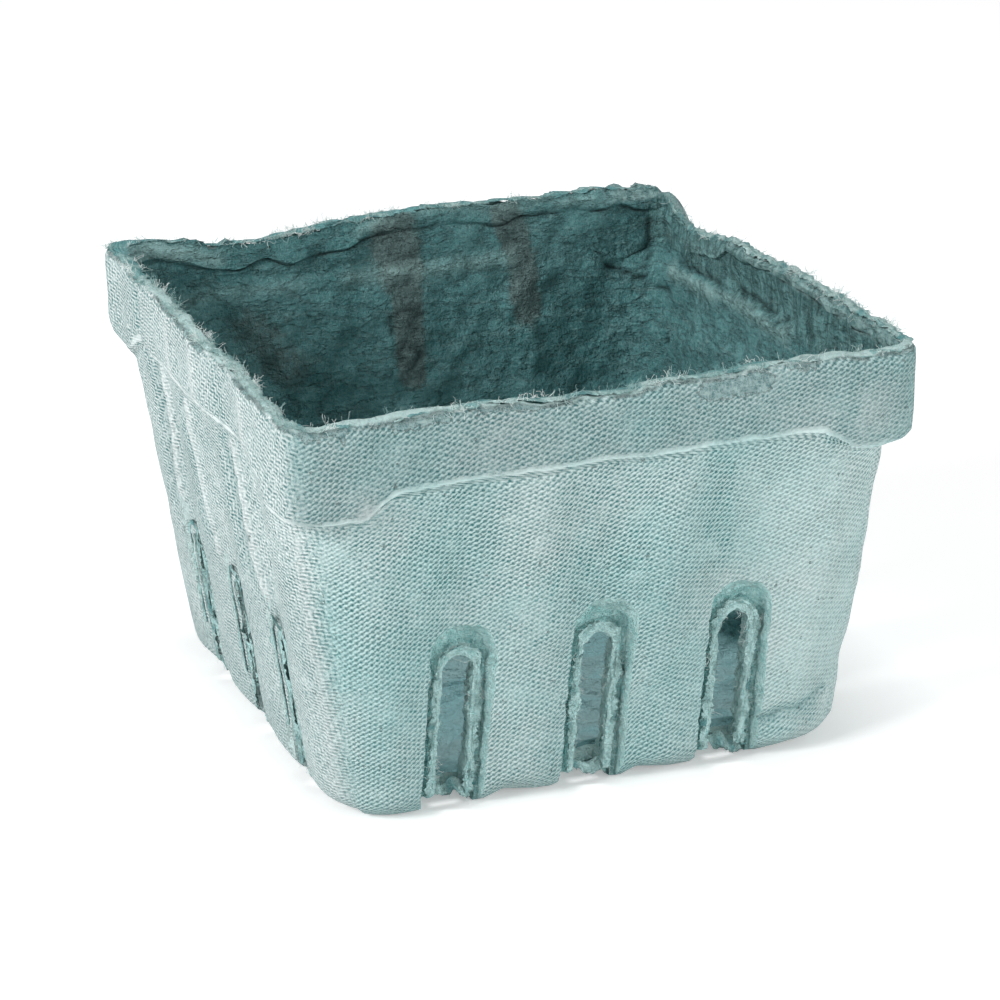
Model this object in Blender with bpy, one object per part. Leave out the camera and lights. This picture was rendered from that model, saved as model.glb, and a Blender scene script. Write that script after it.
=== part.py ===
"""Berry basket: one square tub of moulded pulp, with a banded rim and three slots in each side.

The tub rests on the ground plane with its centre on the vertical axis. One skin runs from the
underside up the outside, over the rim and down the inside, and the slots are then cut from it.
"""

import math

import bmesh
import bpy
from mathutils import Matrix, Vector

MM = 0.001

# Driving dimensions
RIM_WIDTH = 114 * MM
HEIGHT = 76.2 * MM
FOOT_WIDTH = 95.4 * MM
WALL = 2.2 * MM
FLOOR = 2.4 * MM

# The band round the rim, and the deeper lugs at its four corners
BAND_HEIGHT = 12.3 * MM
BAND_STEP = 1.2 * MM
LUG_DROP = 4.1 * MM
LUG_PROUD = 0.4 * MM
LUG_LENGTH = 12 * MM
LUG_RAMP = 7 * MM
BAND_RADIUS = 5 * MM
BAND_EDGE = 0.3 * MM
BAND_ROUND = 1.3 * MM
BAND_CORNER = 0.3 * MM
BAND_WALL = 2.5 * MM
SHOULDER_RISE = 1.6 * MM
SHOULDER_SLOPE = 2.2 * MM

# The lip on top of the band
LIP_STEP = 0.8 * MM
LIP_RISE = 1 * MM
LIP_ROUND = 0.3 * MM
LIP_WALL = 2.1 * MM
LIP_DEPTH = 3 * MM
CREASE = 0.5 * MM

# The walls and the floor
BODY_RADIUS = 13 * MM
BODY_INNER_RADIUS = 11 * MM
FOOT_ROUND = 5 * MM
FOOT_INNER_ROUND = 4 * MM
FLOOR_RADIUS = 4 * MM
FLUTE_DEPTH = 1.8 * MM
FLUTE_FADE = 14 * MM
FLUTE_FULL = 33 * MM
FLOOR_SLOPE_END = 12.7 * MM
FLOOR_FLAT_START = 17.7 * MM

# The slots, the recess round each, and the swelling behind it on the inside
SLOT_CORNER_GAP = 22.1 * MM
SLOT_HALF = 2.8 * MM
SLOT_TOP = 31 * MM
SLOT_REACH = 7 * MM
RECESS_TOP = 37.3 * MM
RECESS_ROOT_TOP = 33.6 * MM
FRAME_TOP = 32.9 * MM
RECESS_HALF = 6.1 * MM
RECESS_ROOT_HALF = 5.3 * MM
FRAME_OUTER_HALF = 4.8 * MM
FRAME_HALF = 4.5 * MM
RECESS_DEPTH = 3.5 * MM
FRAME_DEPTH = 2.8 * MM
SWELL_DEPTH = 2.2 * MM
SWELL_FLAT = 4.3 * MM
SWELL_END = 10 * MM
SWELL_MIDDLE = 36 * MM
SWELL_TOP = 42 * MM
GROOVE_HALF = 4.9 * MM
GROOVE_HEIGHT = 2.8 * MM
GROOVE_LENGTH = 11 * MM
GROOVE_SLOPE = 3 * MM
OVERRUN = 3 * MM

# The front wall's slots lean, pivoting about a point near their heads
FRONT_LEAN_DEGREES = 2.6
LEAN_PIVOT = 30 * MM

# How finely the skin is divided
RUN_POINTS = 3
ARC_STEPS = 4
FOOT_STEPS = 4
ARCH_STEPS = 9
SLOTS_PER_SIDE = 3
SIDES = 4
COLUMN_REACH = 7.5 * MM
COLUMNS_SHARE = 0.98

# What follows from those sizes
BAND_BOTTOM = HEIGHT - BAND_HEIGHT
WALL_SLOPE = (RIM_WIDTH / 2 - BAND_STEP - FOOT_WIDTH / 2) / BAND_BOTTOM
LUG_FULL = RIM_WIDTH / 2 - LUG_LENGTH
LUG_START = LUG_FULL - LUG_RAMP
FLUTE_START = BAND_BOTTOM - FLUTE_FADE
FLOOR_RING = FOOT_WIDTH / 2 - FLOOR_SLOPE_END
FLOOR_FLAT = FOOT_WIDTH / 2 - FLOOR_FLAT_START
SLOT_PITCH = FOOT_WIDTH / 2 - SLOT_CORNER_GAP
LAST_COLUMN = SLOT_PITCH + COLUMN_REACH

PULP_COLOUR = (0.39, 0.58, 0.56, 1)


def clear_scene():
    for obj in list(bpy.data.objects):
        bpy.data.objects.remove(obj, do_unlink=True)


def smooth_step(low, high, value):
    share = min(1, max(0, (value - low) / (high - low)))
    return share * share * (3 - 2 * share)


def body_half(height):
    """Half the outer width of the plain wall at this height."""
    return FOOT_WIDTH / 2 + WALL_SLOPE * height


def flute(along):
    """How far a wall dips at this distance from the middle of its side: lobes that meet at the slots."""
    if along > 1.5 * SLOT_PITCH:
        return 0
    return FLUTE_DEPTH * (1 - abs(math.sin(math.pi * along / SLOT_PITCH)))


def lug_share(along):
    return smooth_step(LUG_START, LUG_FULL, along)


def swell_share(along):
    """One behind a slot, falling to nothing beside it."""
    axis = SLOT_PITCH * min(1, round(along / SLOT_PITCH))
    return 1 - smooth_step(SWELL_FLAT, SWELL_END, abs(along - axis))


def columns():
    """Where the vertical lines of one side stand, from its middle."""
    places = [-SLOT_PITCH / 2, SLOT_PITCH / 2]
    for axis in (-SLOT_PITCH, 0, SLOT_PITCH):
        places += [axis, axis - SWELL_FLAT, axis + SWELL_FLAT, axis - COLUMN_REACH, axis + COLUMN_REACH]
    return sorted(places)


def side_outline(half, radius):
    """Points (across, out, normal across, normal out, along) of one side and the corner after it."""
    straight = half - radius
    fit_share = min(1, COLUMNS_SHARE * straight / LAST_COLUMN)
    points = [(fit_share * place, half, 0, 1, abs(place)) for place in columns()]
    start = fit_share * LAST_COLUMN
    runs = [start + (straight - start) * i / (RUN_POINTS + 1) for i in range(1, RUN_POINTS + 1)]
    points += [(place, half, 0, 1, place) for place in runs]
    for i in range(ARC_STEPS + 1):
        turn = math.pi / 2 * i / ARC_STEPS
        across = straight + radius * math.sin(turn)
        out = straight + radius * math.cos(turn)
        points.append((across, out, math.sin(turn), math.cos(turn), min(across, out)))
    points += [(half, place, 1, 0, place) for place in reversed(runs)]
    return points


def ring(half, radius, height, flute_share=0, swell=0, edge_share=0, proud_share=0, slope=0):
    """One closed line round the tub. Shares say how far it follows the flutes, the lower edge of
    the lugs and the lugs' standing proud. Where it drops, it moves in by the slope of its wall."""
    line = []
    for side in range(SIDES):
        turn = Matrix.Rotation(side * math.pi / 2, 3, "Z")
        for across, out, normal_across, normal_out, along in side_outline(half, radius):
            inward = flute_share * flute(along) + swell * swell_share(along)
            drop = edge_share * LUG_DROP * lug_share(along)
            inward += (1 - lug_share(along)) * proud_share * LUG_PROUD + slope * drop
            across -= inward * normal_across
            out -= inward * normal_out
            line.append(turn @ Vector((across, -out, height - drop)))
    return line


def lifted(line, lift, half):
    """The same line raised behind each slot, where the floor follows the groove beneath it."""
    for point in line:
        along = min(abs(point.x), abs(point.y))
        if max(abs(point.x), abs(point.y)) > half / 2:
            point.z += lift * swell_share(along)
    return line


def outer_rings():
    """The outside, from the underside up to the lug edge."""
    rings = []
    for i in range(FOOT_STEPS + 1):
        turn = math.pi / 2 * i / FOOT_STEPS
        height = FOOT_ROUND * (1 - math.cos(turn))
        inset = FOOT_ROUND * (1 - math.sin(turn))
        radius = BODY_RADIUS - inset
        rings.append(ring(body_half(height) - inset, radius, height, flute_share=math.sin(turn)))
    rings.append(ring(body_half(FLUTE_FULL), BODY_RADIUS, FLUTE_FULL, flute_share=1))
    for height, flute_share, edge_share in (
        (FLUTE_START, 0.9, 0),
        (BAND_BOTTOM - BAND_ROUND, 0.6, 1),
    ):
        half = body_half(height)
        rings.append(ring(half, BODY_RADIUS, height, flute_share, edge_share=edge_share, slope=WALL_SLOPE))
    return rings


def band_rings():
    """The band's rounded lower edge, its face, and the lip on top."""
    half = RIM_WIDTH / 2
    top = HEIGHT - LIP_RISE
    rings = []
    for inset, height in ((BAND_CORNER, BAND_BOTTOM + BAND_EDGE), (0, BAND_BOTTOM + BAND_ROUND)):
        rings.append(ring(half - inset, BAND_RADIUS, height, edge_share=1, proud_share=1))
    for inset, height in ((0, top - CREASE), (LIP_ROUND, top), (LIP_STEP, top)):
        rings.append(ring(half - inset, BAND_RADIUS - inset, height, proud_share=1))
    outer = half - LIP_STEP
    inner = outer - LIP_WALL
    radius = BAND_RADIUS - LIP_STEP
    inner_radius = radius - LIP_WALL
    for place, corner, height in (
        (outer, radius, HEIGHT - LIP_ROUND),
        (outer - LIP_ROUND, radius - LIP_ROUND, HEIGHT),
        (inner, inner_radius, HEIGHT - LIP_ROUND),
        (inner - LIP_ROUND, inner_radius - LIP_ROUND, HEIGHT - LIP_DEPTH),
        (inner + CREASE, inner_radius + CREASE, HEIGHT - LIP_DEPTH - CREASE),
        (inner, inner_radius, HEIGHT - LIP_DEPTH - CREASE - CREASE),
    ):
        rings.append(ring(place, corner, height, proud_share=1))
    return rings


def inner_rings():
    """The inside, from under the lip down to the floor."""
    rings = []
    band = RIM_WIDTH / 2 - BAND_WALL
    shoulder = BAND_BOTTOM + SHOULDER_RISE
    upper = shoulder + SHOULDER_SLOPE
    rings.append(ring(band, BAND_RADIUS - BAND_WALL, upper, edge_share=1, proud_share=1))
    for height, flute_share, edge_share in ((shoulder, 0.5, 1), (FLUTE_START, 0.9, 0)):
        half = body_half(height) - WALL
        rings.append(ring(half, BODY_INNER_RADIUS, height, flute_share, edge_share=edge_share, slope=WALL_SLOPE))
    for height, swell_depth_share in ((SWELL_TOP, 0), (SWELL_MIDDLE, 0.75), (SLOT_TOP, 1)):
        half = body_half(height) - WALL
        swell = swell_depth_share * SWELL_DEPTH
        rings.append(ring(half, BODY_INNER_RADIUS, height, flute_share=1, swell=swell))
    for i in range(FOOT_STEPS + 1):
        turn = math.pi / 2 * (1 - i / FOOT_STEPS)
        height = FLOOR + FOOT_INNER_ROUND * (1 - math.cos(turn))
        inset = FOOT_INNER_ROUND * (1 - math.sin(turn))
        half = body_half(height) - WALL - inset
        lift = GROOVE_HEIGHT * (1 - math.sin(turn) / 2)
        line = ring(half, BODY_INNER_RADIUS - inset, height, flute_share=math.sin(turn), swell=SWELL_DEPTH)
        rings.append(lifted(line, lift, half))
    rings.append(lifted(ring(FLOOR_RING, FLOOR_RADIUS, FLOOR), GROOVE_HEIGHT / 2, FLOOR_RING))
    rings.append(ring(FLOOR_FLAT, FLOOR_RADIUS, FLOOR))
    return rings


def loft(mesh, rings):
    """Closes a run of rings into one skin, with flat ends."""
    lines = [[mesh.verts.new(point) for point in line] for line in rings]
    for lower, upper in zip(lines, lines[1:]):
        count = len(lower)
        for i in range(count):
            after = (i + 1) % count
            mesh.faces.new((lower[i], lower[after], upper[after], upper[i]))
    mesh.faces.new(list(reversed(lines[0])))
    mesh.faces.new(lines[-1])


def new_object(name, mesh):
    bmesh.ops.recalc_face_normals(mesh, faces=mesh.faces)
    data = bpy.data.meshes.new(name)
    mesh.to_mesh(data)
    mesh.free()
    obj = bpy.data.objects.new(name, data)
    bpy.context.scene.collection.objects.link(obj)
    return obj


def arch_outline(half, top, bottom):
    """Points (across, up) of a slot shape: straight sides and a round head."""
    springing = top - half
    points = [(-half, bottom)]
    for i in range(ARCH_STEPS + 1):
        turn = math.pi * i / ARCH_STEPS
        points.append((-half * math.cos(turn), springing + half * math.sin(turn)))
    points.append((half, bottom))
    return points


def wall_frames():
    """The placing of each slot: across the wall, out of it and up its slope, from the wall's foot."""
    tilt = math.atan(WALL_SLOPE)
    slope = Matrix.Translation((0, -FOOT_WIDTH / 2, 0)) @ Matrix.Rotation(tilt, 4, "X")
    for side in range(SIDES):
        turn = Matrix.Rotation(side * math.pi / 2, 4, "Z")
        lean_angle = math.radians(FRONT_LEAN_DEGREES) if side == 0 else 0
        lean = Matrix.Rotation(lean_angle, 4, "Y")
        pivot = Matrix.Translation((0, 0, LEAN_PIVOT))
        for index in range(SLOTS_PER_SIDE):
            place = (index - 1) * SLOT_PITCH
            foot = place - LEAN_PIVOT * math.tan(lean_angle)
            upright = turn @ Matrix.Translation((place, 0, 0)) @ slope
            yield upright @ pivot @ lean @ pivot.inverted(), turn @ Matrix.Translation((foot, 0, 0))


def cutter(name, mesh):
    obj = new_object(name, mesh)
    obj.hide_render = True
    obj.display_type = "WIRE"
    return obj


def recess_cutter():
    """The arched hollow round each slot, which leaves a low frame standing next to the slot."""
    mesh = bmesh.new()
    steps = (
        (OVERRUN, RECESS_HALF, RECESS_TOP),
        (0, RECESS_HALF, RECESS_TOP),
        (-RECESS_DEPTH, RECESS_ROOT_HALF, RECESS_ROOT_TOP),
        (-RECESS_DEPTH, FRAME_OUTER_HALF, FRAME_TOP + CREASE),
        (-FRAME_DEPTH, FRAME_HALF, FRAME_TOP),
    )
    for place, _ in wall_frames():
        loft(mesh, [
            [place @ Vector((across, -out, up)) for across, up in arch_outline(half, top, -OVERRUN)]
            for out, half, top in steps
        ])
    return cutter("recess_cutter", mesh)


def groove_cutter():
    """The hollow under the foot, where each recess turns below the floor."""
    mesh = bmesh.new()
    front = -FOOT_WIDTH / 2
    profile = (
        (-OVERRUN, -OVERRUN),
        (GROOVE_LENGTH, -OVERRUN),
        (GROOVE_LENGTH, 0),
        (GROOVE_LENGTH - GROOVE_SLOPE, GROOVE_HEIGHT),
        (-OVERRUN, GROOVE_HEIGHT),
    )
    for _, place in wall_frames():
        loft(mesh, [
            [place @ Vector((across, front + inward, up)) for inward, up in profile]
            for across in (-GROOVE_HALF, GROOVE_HALF)
        ])
    return cutter("groove_cutter", mesh)


def slot_cutter():
    """The through slot, open at the foot, where it takes a bite from the edge of the floor."""
    mesh = bmesh.new()
    for place, _ in wall_frames():
        loft(mesh, [
            [place @ Vector((across, -out, up)) for across, up in arch_outline(SLOT_HALF, SLOT_TOP, -OVERRUN)]
            for out in (OVERRUN, -SLOT_REACH)
        ])
    return cutter("slot_cutter", mesh)


def pulp_material():
    material = bpy.data.materials.new("pulp")
    material.use_nodes = True
    shader = material.node_tree.nodes["Principled BSDF"]
    shader.inputs["Base Color"].default_value = PULP_COLOUR
    shader.inputs["Roughness"].default_value = 0.95
    shader.inputs["Metallic"].default_value = 0
    return material


def pulp_basket():
    mesh = bmesh.new()
    loft(mesh, outer_rings() + band_rings() + inner_rings())
    basket = new_object("pulp_basket", mesh)
    basket.data.materials.append(pulp_material())
    for tool in (recess_cutter(), groove_cutter(), slot_cutter()):
        cut = basket.modifiers.new(tool.name, "BOOLEAN")
        cut.operation = "DIFFERENCE"
        cut.solver = "EXACT"
        cut.object = tool
    basket.data.shade_smooth()
    basket.data.set_sharp_from_angle(angle=math.radians(35))
    return basket


clear_scene()
pulp_basket()
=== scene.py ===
import math

import bmesh
import bpy
import numpy as np
from mathutils import Matrix, Vector


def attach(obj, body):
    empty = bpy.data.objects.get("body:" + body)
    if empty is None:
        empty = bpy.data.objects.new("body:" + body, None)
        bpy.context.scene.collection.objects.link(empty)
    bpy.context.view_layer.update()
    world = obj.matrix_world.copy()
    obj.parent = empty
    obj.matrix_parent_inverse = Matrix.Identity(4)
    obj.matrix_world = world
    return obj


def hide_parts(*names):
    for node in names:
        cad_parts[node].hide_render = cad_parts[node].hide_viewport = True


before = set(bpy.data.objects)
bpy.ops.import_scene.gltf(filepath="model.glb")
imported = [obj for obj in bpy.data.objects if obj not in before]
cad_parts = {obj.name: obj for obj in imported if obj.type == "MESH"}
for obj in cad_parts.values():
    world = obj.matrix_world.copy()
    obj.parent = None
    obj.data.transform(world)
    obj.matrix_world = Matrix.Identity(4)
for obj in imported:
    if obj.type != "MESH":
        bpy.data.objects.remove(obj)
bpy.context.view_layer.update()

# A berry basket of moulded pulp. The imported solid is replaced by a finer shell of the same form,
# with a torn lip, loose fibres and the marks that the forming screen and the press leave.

MM = 0.001

# The tub, as in the solid model
RIM_WIDTH = 114 * MM
HEIGHT = 76.2 * MM
FOOT_WIDTH = 95.4 * MM
WALL = 2.2 * MM
FLOOR = 2.4 * MM
BAND_HEIGHT = 12.3 * MM
BAND_STEP = 1.2 * MM
BAND_WALL = 2.5 * MM
BAND_RADIUS = 5 * MM
BAND_EDGE = 0.3 * MM
BAND_ROUND = 1.3 * MM
BAND_CORNER = 0.3 * MM
LUG_DROP = 4.1 * MM
LUG_PROUD = 0.4 * MM
LUG_LENGTH = 12 * MM
LUG_RAMP = 7 * MM
SHOULDER_RISE = 1.6 * MM
SHOULDER_SLOPE = 2.2 * MM
LIP_STEP = 0.8 * MM
LIP_RISE = 1 * MM
LIP_ROUND = 0.5 * MM
LIP_WALL = 2.1 * MM
LIP_DEPTH = 3 * MM
CREASE = 0.5 * MM
BODY_RADIUS = 13 * MM
BODY_INNER_RADIUS = 11 * MM
FOOT_ROUND = 5 * MM
FOOT_INNER_ROUND = 4 * MM
FLOOR_RADIUS = 4 * MM
FLOOR_SLOPE_END = 12.7 * MM
FLOOR_FLAT_START = 17.7 * MM
FLUTE_DEPTH = 1.8 * MM
FLUTE_FADE = 14 * MM
FLUTE_FULL = 33 * MM

# The slots, the recess round each and the swelling behind it. Their tops are as torn in the
# photograph, about 1 mm off the solid's clean ones.
SLOT_CORNER_GAP = 22.1 * MM
SLOT_HALF = 2.8 * MM
SLOT_TOP = 29.8 * MM
SLOT_REACH = 7 * MM
RECESS_TOP = 38.2 * MM
RECESS_ROOT_TOP = 34.6 * MM
FRAME_TOP = 31.9 * MM
RECESS_HALF = 6.1 * MM
RECESS_ROOT_HALF = 5.3 * MM
FRAME_OUTER_HALF = 4.45 * MM
FRAME_HALF = 4.1 * MM
RECESS_DEPTH = 3.5 * MM
FRAME_DEPTH = 2.8 * MM
SWELL_DEPTH = 2.2 * MM
SWELL_FLAT = 4.3 * MM
SWELL_END = 10 * MM
SWELL_MIDDLE = 36 * MM
SWELL_TOP = 42 * MM
GROOVE_HALF = 4.9 * MM
GROOVE_HEIGHT = 2.8 * MM
GROOVE_LENGTH = 11 * MM
GROOVE_SLOPE = 3 * MM
OVERRUN = 3 * MM
FRONT_LEAN_DEGREES = 2.6
LEAN_PIVOT = 30 * MM
SLOTS_PER_SIDE = 3
SIDES = 4

# What follows from those sizes
BAND_BOTTOM = HEIGHT - BAND_HEIGHT
WALL_SLOPE = (RIM_WIDTH / 2 - BAND_STEP - FOOT_WIDTH / 2) / BAND_BOTTOM
LUG_FULL = RIM_WIDTH / 2 - LUG_LENGTH
LUG_START = LUG_FULL - LUG_RAMP
FLUTE_START = BAND_BOTTOM - FLUTE_FADE
FLOOR_RING = FOOT_WIDTH / 2 - FLOOR_SLOPE_END
FLOOR_FLAT = FOOT_WIDTH / 2 - FLOOR_FLAT_START
SLOT_PITCH = FOOT_WIDTH / 2 - SLOT_CORNER_GAP

# How finely the shell is divided
STRAIGHT_COLUMNS = 92
CORNER_COLUMNS = 18
STATION_SPACING = 1.05 * MM
FLOOR_SPACING = 2.8 * MM
FLOOR_RINGS = 5
FOOT_STEPS = 6
SOFTENING = 0.55 * MM

# The forming screen's imprint is counted round a line of this length, so that it meets itself
IMPRINT_LENGTH = 450 * MM
UV_UNIT = 100 * MM


def smooth_step(low, high, value):
    share = np.clip((value - low) / (high - low), 0, 1)
    return share * share * (3 - 2 * share)


def body_half(height):
    """Half the outer width of the plain wall at this height."""
    return FOOT_WIDTH / 2 + WALL_SLOPE * height


def flute(along):
    """How far a wall dips at this distance from the middle of its side: lobes that meet at the slots."""
    dip = FLUTE_DEPTH * (1 - np.abs(np.sin(math.pi * along / SLOT_PITCH)))
    return np.where(along > 1.5 * SLOT_PITCH, 0, dip)


def lug_share(along):
    return smooth_step(LUG_START, LUG_FULL, along)


def swell_share(along):
    """One behind a slot, falling to nothing beside it."""
    axis = SLOT_PITCH * np.minimum(1, np.round(along / SLOT_PITCH))
    return 1 - smooth_step(SWELL_FLAT, SWELL_END, np.abs(along - axis))


def waves(points, length, seed, count=36):
    """Smooth noise of about one unit, with waves near this length in any direction."""
    random = np.random.default_rng(seed)
    directions = random.normal(size=(count, 3))
    directions /= np.linalg.norm(directions, axis=1)[:, None]
    lengths = length * random.uniform(0.7, 1.6, count)
    phases = random.uniform(0, 2 * math.pi, count)
    turns = points @ (directions / lengths[:, None]).T * 2 * math.pi + phases
    return np.sin(turns).sum(axis=-1) * math.sqrt(2 / count)


# The profile of the wall: one key for each place where the line from the underside up the outside,
# over the rim and down the inside changes
KEY_NAMES = ("half", "radius", "height", "flute", "edge", "proud", "slope", "swell", "lift", "inside")


def key(half, radius, height, flute=0, edge=0, proud=0, slope=0, swell=0, lift=0, inside=0):
    return (half, radius, height, flute, edge, proud, slope, swell, lift, inside)


def outer_keys():
    keys = [key(FLOOR_FLAT, FLOOR_RADIUS, 0)]
    for i in range(FOOT_STEPS + 1):
        turn = math.pi / 2 * i / FOOT_STEPS
        height = FOOT_ROUND * (1 - math.cos(turn))
        inset = FOOT_ROUND * (1 - math.sin(turn))
        keys.append(key(body_half(height) - inset, BODY_RADIUS - inset, height, math.sin(turn)))
    keys.append(key(body_half(FLUTE_FULL), BODY_RADIUS, FLUTE_FULL, 1))
    keys.append(key(body_half(FLUTE_START), BODY_RADIUS, FLUTE_START, 0.9, slope=WALL_SLOPE))
    below = BAND_BOTTOM - BAND_ROUND
    keys.append(key(body_half(below), BODY_RADIUS, below, 0.6, 1, slope=WALL_SLOPE))
    return keys


def band_keys():
    half = RIM_WIDTH / 2
    top = HEIGHT - LIP_RISE
    keys = [
        key(half - BAND_CORNER, BAND_RADIUS, BAND_BOTTOM + BAND_EDGE, edge=1, proud=1),
        key(half, BAND_RADIUS, BAND_BOTTOM + BAND_ROUND, edge=1, proud=1),
        key(half, BAND_RADIUS, top - CREASE, proud=1),
        key(half - BAND_CORNER, BAND_RADIUS - BAND_CORNER, top, proud=1),
        key(half - LIP_STEP, BAND_RADIUS - LIP_STEP, top, proud=1),
    ]
    outer = half - LIP_STEP
    inner = outer - LIP_WALL
    radius = BAND_RADIUS - LIP_STEP
    inner_radius = radius - LIP_WALL
    keys += [
        key(outer, radius, HEIGHT - LIP_ROUND, proud=1),
        key(outer - LIP_ROUND, radius - LIP_ROUND, HEIGHT, proud=1, inside=0.3),
        key(inner, inner_radius, HEIGHT - LIP_ROUND, proud=1, inside=0.7),
        key(inner - LIP_ROUND, inner_radius - LIP_ROUND, HEIGHT - LIP_DEPTH, proud=1, inside=1),
        key(inner + CREASE, inner_radius + CREASE, HEIGHT - LIP_DEPTH - CREASE, proud=1, inside=1),
        key(inner, inner_radius, HEIGHT - LIP_DEPTH - 2 * CREASE, proud=1, inside=1),
    ]
    return keys


def inner_keys():
    keys = []
    shoulder = BAND_BOTTOM + SHOULDER_RISE
    band = RIM_WIDTH / 2 - BAND_WALL
    keys.append(key(band, BAND_RADIUS - BAND_WALL, shoulder + SHOULDER_SLOPE, edge=1, proud=1, inside=1))
    for height, flute_share, edge_share in ((shoulder, 0.5, 1), (FLUTE_START, 0.9, 0)):
        half = body_half(height) - WALL
        keys.append(key(half, BODY_INNER_RADIUS, height, flute_share, edge_share, slope=WALL_SLOPE, inside=1))
    for height, swell_depth_share in ((SWELL_TOP, 0), (SWELL_MIDDLE, 0.75), (SLOT_TOP, 1)):
        half = body_half(height) - WALL
        keys.append(key(half, BODY_INNER_RADIUS, height, 1, swell=swell_depth_share * SWELL_DEPTH, inside=1))
    for i in range(FOOT_STEPS + 1):
        turn = math.pi / 2 * (1 - i / FOOT_STEPS)
        height = FLOOR + FOOT_INNER_ROUND * (1 - math.cos(turn))
        inset = FOOT_INNER_ROUND * (1 - math.sin(turn))
        half = body_half(height) - WALL - inset
        lift = GROOVE_HEIGHT * (1 - math.sin(turn) / 2)
        radius = BODY_INNER_RADIUS - inset
        keys.append(key(half, radius, height, math.sin(turn), swell=SWELL_DEPTH, lift=lift, inside=1))
    keys.append(key(FLOOR_RING, FLOOR_RADIUS, FLOOR, lift=GROOVE_HEIGHT / 2, inside=1))
    keys.append(key(FLOOR_FLAT, FLOOR_RADIUS, FLOOR, inside=1))
    return keys


def all_keys():
    return np.array(outer_keys() + band_keys() + inner_keys())


def key_lengths():
    """How far along the profile each key is."""
    keys = all_keys()
    steps = np.hypot(np.diff(keys[:, 0]), np.diff(keys[:, 2]))
    return np.concatenate([[0], np.cumsum(steps)])


# The keys of the band's lower edge, of the start and the top of the lip and of the crack under it
# inside, counted along the profile
BAND_EDGE_KEY = FOOT_STEPS + 5
LIP_KEY = FOOT_STEPS + 7
LIP_TOP_KEY = LIP_KEY + 3
CRACK_KEY = LIP_KEY + 7


def softened(table, lengths):
    """The stations with their corners worn, by averaging over a short run of the profile."""
    weights = np.exp(-0.5 * ((lengths[:, None] - lengths[None, :]) / SOFTENING) ** 2)
    weights /= weights.sum(axis=1)[:, None]
    return weights @ table


def stations():
    """The profile at even spacing, and how far along it each station is."""
    keys = all_keys()
    lengths = key_lengths()
    places = []
    on_floor = keys[:, 0] < FOOT_WIDTH / 2 - FOOT_ROUND
    for number, (start, end) in enumerate(zip(lengths, lengths[1:])):
        spacing = FLOOR_SPACING if on_floor[number] or on_floor[number + 1] else STATION_SPACING
        count = max(1, round((end - start) / spacing))
        places.append(np.linspace(start, end, count, endpoint=False))
    places = np.concatenate(places + [[lengths[-1]]])
    table = np.stack([np.interp(places, lengths, column) for column in keys.T], axis=1)
    return softened(table, places), places


def outline(half, radius):
    """Points round one ring at unit scale of columns: across, out, both normals, along and length."""
    straight = half - radius
    across = np.linspace(-straight, straight, STRAIGHT_COLUMNS + 1)
    turns = np.linspace(0, math.pi / 2, CORNER_COLUMNS + 1)[1:-1]
    corner_across = straight + radius * np.sin(turns)
    corner_out = straight + radius * np.cos(turns)
    u = np.concatenate([across, corner_across])
    v = np.concatenate([np.full(len(across), half), corner_out])
    nu = np.concatenate([np.zeros(len(across)), np.sin(turns)])
    nv = np.concatenate([np.ones(len(across)), np.cos(turns)])
    along = np.concatenate([np.abs(across), np.minimum(corner_across, corner_out)])
    length = np.concatenate([across + straight, 2 * straight + radius * turns])
    return u, v, nu, nv, along, length, 2 * straight + radius * math.pi / 2


def ring(station):
    """One closed line round the tub, its outward directions and its share of the way round."""
    half, radius, height, flute_share, edge, proud, slope, swell, lift, _ = station
    radius = max(radius, 0.1 * MM)
    u, v, nu, nv, along, length, side_length = outline(half, radius)
    drop = edge * LUG_DROP * lug_share(along)
    inward = flute_share * flute(along) + swell * swell_share(along)
    inward += (1 - lug_share(along)) * proud * LUG_PROUD + slope * drop
    u = u - inward * nu
    v = v - inward * nv
    z = height - drop + lift * swell_share(along)
    points, normals, shares = [], [], []
    for side in range(SIDES):
        c, s = math.cos(side * math.pi / 2), math.sin(side * math.pi / 2)
        points.append(np.stack([c * u + s * v, s * u - c * v, z], axis=1))
        normals.append(np.stack([c * nu + s * nv, s * nu - c * nv, np.zeros(len(u))], axis=1))
        shares.append((side + length / side_length) / SIDES)
    return np.concatenate(points), np.concatenate(normals), np.concatenate(shares)


def grid():
    """The shell's points by station and column, with normals, shares of the way round and lengths."""
    table, lengths = stations()
    rings = [ring(station) for station in table]
    points, normals, shares = (np.array(values) for values in zip(*rings))
    return points, normals, shares, lengths, table


def surface_normals(points):
    """Outward directions of the grid, from its neighbours."""
    across = np.roll(points, -1, axis=1) - np.roll(points, 1, axis=1)
    up = np.gradient(points, axis=0)
    normals = np.cross(across, up)
    return normals / np.maximum(np.linalg.norm(normals, axis=2), 1e-12)[:, :, None]


FRONT, RIGHT, BACK, LEFT = range(SIDES)

# Marks in the outer skin. Each is a wall, a run of places on it (along the wall to the right as one
# faces it, then up, in millimetres), how far the mark stands out, its half width, and its tone from
# minus one, dark, to one, pale: the dark tones are painted shade in grooves and valleys, the pale ones
# mostly painted light on ridges and lit stretches
FOLD_MARKS = (
    (((-27, 62), (-28, 47), (-30, 34)), 0.7, 1.0, 0.5),
    (((-31, 60), (-32, 46), (-33, 34)), -0.8, 2.3, -0.75),
    (((-8.5, 62), (-9, 48), (-8.6, 36), (-6.8, 33)), 0.8, 1.0, 0.5),
    (((-13.5, 59), (-12.5, 46), (-11.5, 36)), -0.9, 2.6, -0.75),
    (((17, 62), (18.4, 51), (19.8, 39.5), (22.2, 35)), 0.8, 1.0, 0.5),
    (((11.5, 57), (14.2, 47), (16.4, 37)), -0.9, 2.8, -0.75),
)
# A low ridge down the near corner, with a painted highlight along it
CORNER_MARK = (((48, 57), (47.5, 47), (46, 36), (45.4, 29), (44, 14), (42.5, 5)), 0.5, 1.1, 0.18)
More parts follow.
